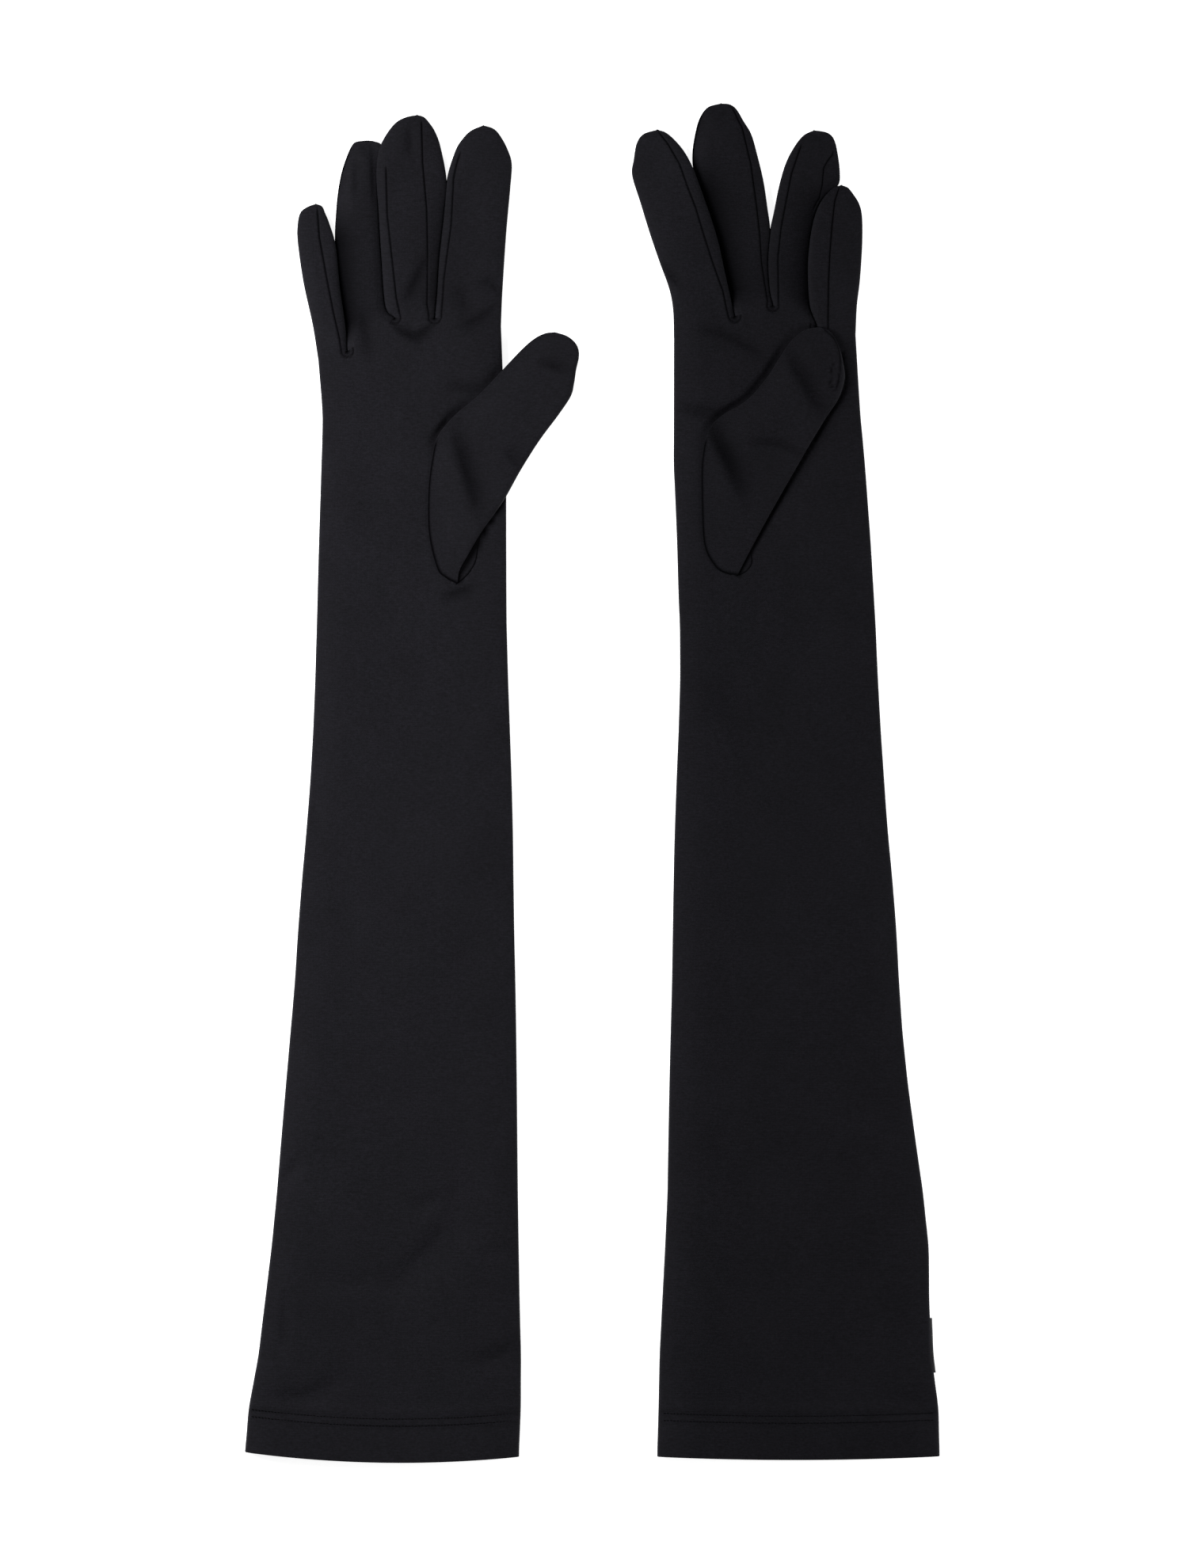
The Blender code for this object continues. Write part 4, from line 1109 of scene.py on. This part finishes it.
class Nodes:
    """A short way to write a material's nodes."""

    def __init__(self, name):
        self.material = bpy.data.materials.get(name) or bpy.data.materials.new(name)
        self.material.use_nodes = True
        self.tree = self.material.node_tree
        self.tree.nodes.clear()
        self.place = self.add("ShaderNodeTexCoord").outputs["Object"]

    def add(self, kind, **values):
        node = self.tree.nodes.new(kind)
        for name, value in values.items():
            setattr(node, name, value)
        return node

    def wire(self, source, target):
        self.tree.links.new(source, target)

    def noise(self, scale, detail=3.0):
        """Noise whose grains are 1/scale metres across, along X, Y and Z."""
        mapping = self.add("ShaderNodeMapping")
        mapping.inputs["Scale"].default_value = scale
        self.wire(self.place, mapping.inputs["Vector"])
        noise = self.add("ShaderNodeTexNoise")
        noise.inputs["Scale"].default_value = 1.0
        noise.inputs["Detail"].default_value = detail
        self.wire(mapping.outputs["Vector"], noise.inputs["Vector"])
        return noise.outputs["Fac"]

    def bands(self, direction, pitch, distortion=1.2):
        """Fine ridges this far apart, in metres."""
        wave = self.add("ShaderNodeTexWave", bands_direction=direction)
        wave.inputs["Scale"].default_value = 2 * math.pi / (20 * pitch)
        wave.inputs["Distortion"].default_value = distortion
        wave.inputs["Detail"].default_value = 2.0
        wave.inputs["Detail Scale"].default_value = 2.0
        self.wire(self.place, wave.inputs["Vector"])
        return wave.outputs["Fac"]

    def math(self, operation, a, b):
        node = self.add("ShaderNodeMath", operation=operation)
        for socket, value in zip(node.inputs, (a, b)):
            if isinstance(value, (int, float)):
                socket.default_value = value
            else:
                self.wire(value, socket)
        return node.outputs[0]

    def spread(self, source, low, high):
        """Maps the noise's middle range to low..high."""
        node = self.add("ShaderNodeMapRange")
        node.inputs["From Min"].default_value = 0.3
        node.inputs["From Max"].default_value = 0.7
        node.inputs["To Min"].default_value = low
        node.inputs["To Max"].default_value = high
        self.wire(source, node.inputs["Value"])
        return node.outputs["Result"]

    def tone(self, colour, factor):
        """A colour made lighter or darker by a factor."""
        node = self.add("ShaderNodeVectorMath", operation="SCALE")
        node.inputs[0].default_value = colour
        self.wire(factor, node.inputs["Scale"])
        return node.outputs["Vector"]

    def finish(self, colour, roughness, height, relief, sheen, specular, lit=None):
        """Joins up the shader. lit, if given, dims its sheen and its highlight."""
        bump = self.add("ShaderNodeBump")
        bump.inputs["Strength"].default_value = 1.0
        bump.inputs["Distance"].default_value = relief
        self.wire(height, bump.inputs["Height"])
        shader = self.add("ShaderNodeBsdfPrincipled")
        self.wire(colour, shader.inputs["Base Color"])
        self.wire(roughness, shader.inputs["Roughness"])
        self.wire(bump.outputs["Normal"], shader.inputs["Normal"])
        for socket, value in (("Specular IOR Level", specular), ("Sheen Weight", sheen)):
            shader.inputs[socket].default_value = value
            if lit is not None:
                self.wire(self.math("MULTIPLY", lit, value), shader.inputs[socket])
        shader.inputs["Sheen Roughness"].default_value = 0.45
        shader.inputs["Sheen Tint"].default_value = (0.9, 0.92, 1.0, 1.0)
        out = self.add("ShaderNodeOutputMaterial")
        self.wire(shader.outputs["BSDF"], out.inputs["Surface"])
        return self.material


def jersey(name, colour):
    """Fine matte knit: level courses, faint upright wales, mottled dye, and painted shade from the
    shade attribute.
    """
    nodes = Nodes(name)
    courses = nodes.noise((330, 2400, 330), 3.0)
    grain = nodes.noise((950, 1150, 950), 4.0)
    mottle = nodes.noise((60, 45, 60), 5.0)
    factor = nodes.math("MULTIPLY", nodes.spread(courses, 0.8, 1.2),
                        nodes.spread(grain, 0.7, 1.3))
    factor = nodes.math("MULTIPLY", factor, nodes.spread(mottle, 0.91, 1.09))
    # Painted shade from the mesh's shade attribute, in seams, creases, slits, pressed sides and over
    # the left glove: it darkens the colour, and the sheen and highlight through lit.
    seam = nodes.add("ShaderNodeAttribute", attribute_name="shade").outputs["Fac"]
    lit = nodes.math("SUBTRACT", 1.0, nodes.math("MULTIPLY", seam, 0.85))
    factor = nodes.math("MULTIPLY", factor, lit)
    knit = nodes.math("MULTIPLY", nodes.bands("Y", 0.00062), nodes.bands("X", 0.0005))
    height = nodes.math("ADD", knit, nodes.math("MULTIPLY", courses, 0.8))
    return nodes.finish(nodes.tone(colour, factor), nodes.spread(grain, 0.72, 0.86), height,
                        0.00004, SHEEN, SPECULAR, lit)


def thread(name, colour):
    """Spun sewing thread: fine twist and a slight shine."""
    nodes = Nodes(name)
    fibres = nodes.noise((4000, 1500, 4000), 3.0)
    twist = nodes.bands("DIAGONAL", 0.0003, 0.4)
    factor = nodes.spread(fibres, 0.7, 1.3)
    height = nodes.math("ADD", twist, fibres)
    return nodes.finish(nodes.tone(colour, factor), nodes.spread(fibres, 0.5, 0.65), height,
                        0.00003, 0.0, 0.04)


def tape(name, colour):
    """Woven label tape: a close plain weave."""
    nodes = Nodes(name)
    weave = nodes.math("MULTIPLY", nodes.bands("X", 0.0003, 0.2), nodes.bands("Y", 0.0003, 0.2))
    mottle = nodes.noise((300, 300, 300), 3.0)
    return nodes.finish(nodes.tone(colour, nodes.spread(mottle, 0.85, 1.15)),
                        nodes.spread(mottle, 0.45, 0.6), weave, 0.00004, 0.1, 0.35)


JERSEY_BLACK = (0.0070, 0.0067, 0.0088)
INSIDE_BLACK = (0.0085, 0.0082, 0.0105)
THREAD_BLACK = (0.0016, 0.0015, 0.0020)
TAPE_BLACK = (0.0120, 0.0120, 0.0140)
SHEEN = 0.015
SPECULAR = 0.07

MATERIALS = {
    "black_jersey": jersey("black_jersey_knit", JERSEY_BLACK),
    "black_jersey_inside": jersey("black_jersey_inner_face", INSIDE_BLACK),
    "black_thread": thread("black_sewing_thread", THREAD_BLACK),
    "black_label_tape": tape("black_woven_tape", TAPE_BLACK),
}


# --- Building ----------------------------------------------------------------------------


def build_glove(side):
    glove = GLOVES[side]
    fingers = {name: finger_grid(glove, name) for name in glove["fingers"]}
    body = body_grid(side, glove, fingers)
    join_fingers(glove, body, fingers)
    grids = {"body": body, **fingers, "turn_up": turn_up_grid(body)}
    sheet = Sheet(grids)
    cut_sleeve(side, sheet)
    cut_hand(side, sheet)
    for name in fingers:
        cut_finger(side, glove, name, sheet)
    cut_thumb(side, Sheet({"thumb": thumb_grid(side, glove), "hole": thumb_hole_grid(glove)}))

    turn_up = cloth_piece(f"{side}_hem_fold", sheet, sheet.cells("turn_up"))
    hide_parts(f"{side}_hem_turn_up")
    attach(turn_up, f"{side}_upper_arm")
    for name, height in NEEDLE_ROWS.items():
        needle_row(side, body, name, height)
    wrist = body.wrist_row
    seam_allowance(side, glove, body, "long_seam_edges",
                   (f"{side}_upper_arm_seam", f"{side}_forearm_seam"), (10, wrist, 1))
    seam_allowance(side, glove, body, "hand_seam_edges", (f"{side}_hand_seam",),
                   (wrist, len(body.points) - 6, 2))
    if side == "left":
        side_label(body)


def floor():
    mesh = bpy.data.meshes.new("floor")
    mesh.from_pydata([(-3, -3, -0.0003), (3, -3, -0.0003), (3, 3, -0.0003), (-3, 3, -0.0003)],
                     [], [(0, 1, 2, 3)])
    paper = bpy.data.materials.new("white_paper")
    paper.use_nodes = True
    shader = paper.node_tree.nodes["Principled BSDF"]
    shader.inputs["Base Color"].default_value = (0.9, 0.9, 0.9, 1)
    shader.inputs["Roughness"].default_value = 0.9
    shader.inputs["Specular IOR Level"].default_value = 0.1
    shader.inputs["Emission Color"].default_value = (1, 1, 1, 1)
    shader.inputs["Emission Strength"].default_value = 0.85
    mesh.materials.append(paper)
    obj = bpy.data.objects.new("floor", mesh)
    bpy.context.scene.collection.objects.link(obj)


def soft_light(name, place, size, power):
    lamp = bpy.data.lights.new(name, "AREA")
    lamp.size = size
    lamp.energy = power
    obj = bpy.data.objects.new(name, lamp)
    bpy.context.scene.collection.objects.link(obj)
    obj.location = place
    obj.rotation_euler = Vector(place).to_track_quat("Z", "Y").to_euler()


def studio():
    bpy.context.scene.view_settings.view_transform = "Standard"
    world = bpy.data.worlds.new("studio")
    world.use_nodes = True
    tree = world.node_tree
    background = tree.nodes["Background"]
    background.inputs["Color"].default_value = (1, 1, 1, 1)
    seen = tree.nodes.new("ShaderNodeMapRange")
    seen.inputs["To Min"].default_value = 0.148
    seen.inputs["To Max"].default_value = 1.0
    rays = tree.nodes.new("ShaderNodeLightPath")
    tree.links.new(rays.outputs["Is Camera Ray"], seen.inputs["Value"])
    tree.links.new(seen.outputs["Result"], background.inputs["Strength"])
    bpy.context.scene.world = world
    soft_light("key_light", (-0.72, 0.2, 0.5), 0.5, 13.2)
    soft_light("fill_light", (0.85, -0.05, 0.24), 0.7, 9)


def overhead_camera():
    """Looks straight down. The frame is 1500 by 1980, and the pair fills most of its height."""
    camera = bpy.data.cameras.new("camera")
    camera.type = "ORTHO"
    camera.ortho_scale = 0.697
    obj = bpy.data.objects.new("camera", camera)
    bpy.context.scene.collection.objects.link(obj)
    obj.location = (0.0002, -0.0005, 1.5)
    bpy.context.scene.camera = obj


for side in SIDES:
    build_glove(side)
floor()
studio()
overhead_camera()
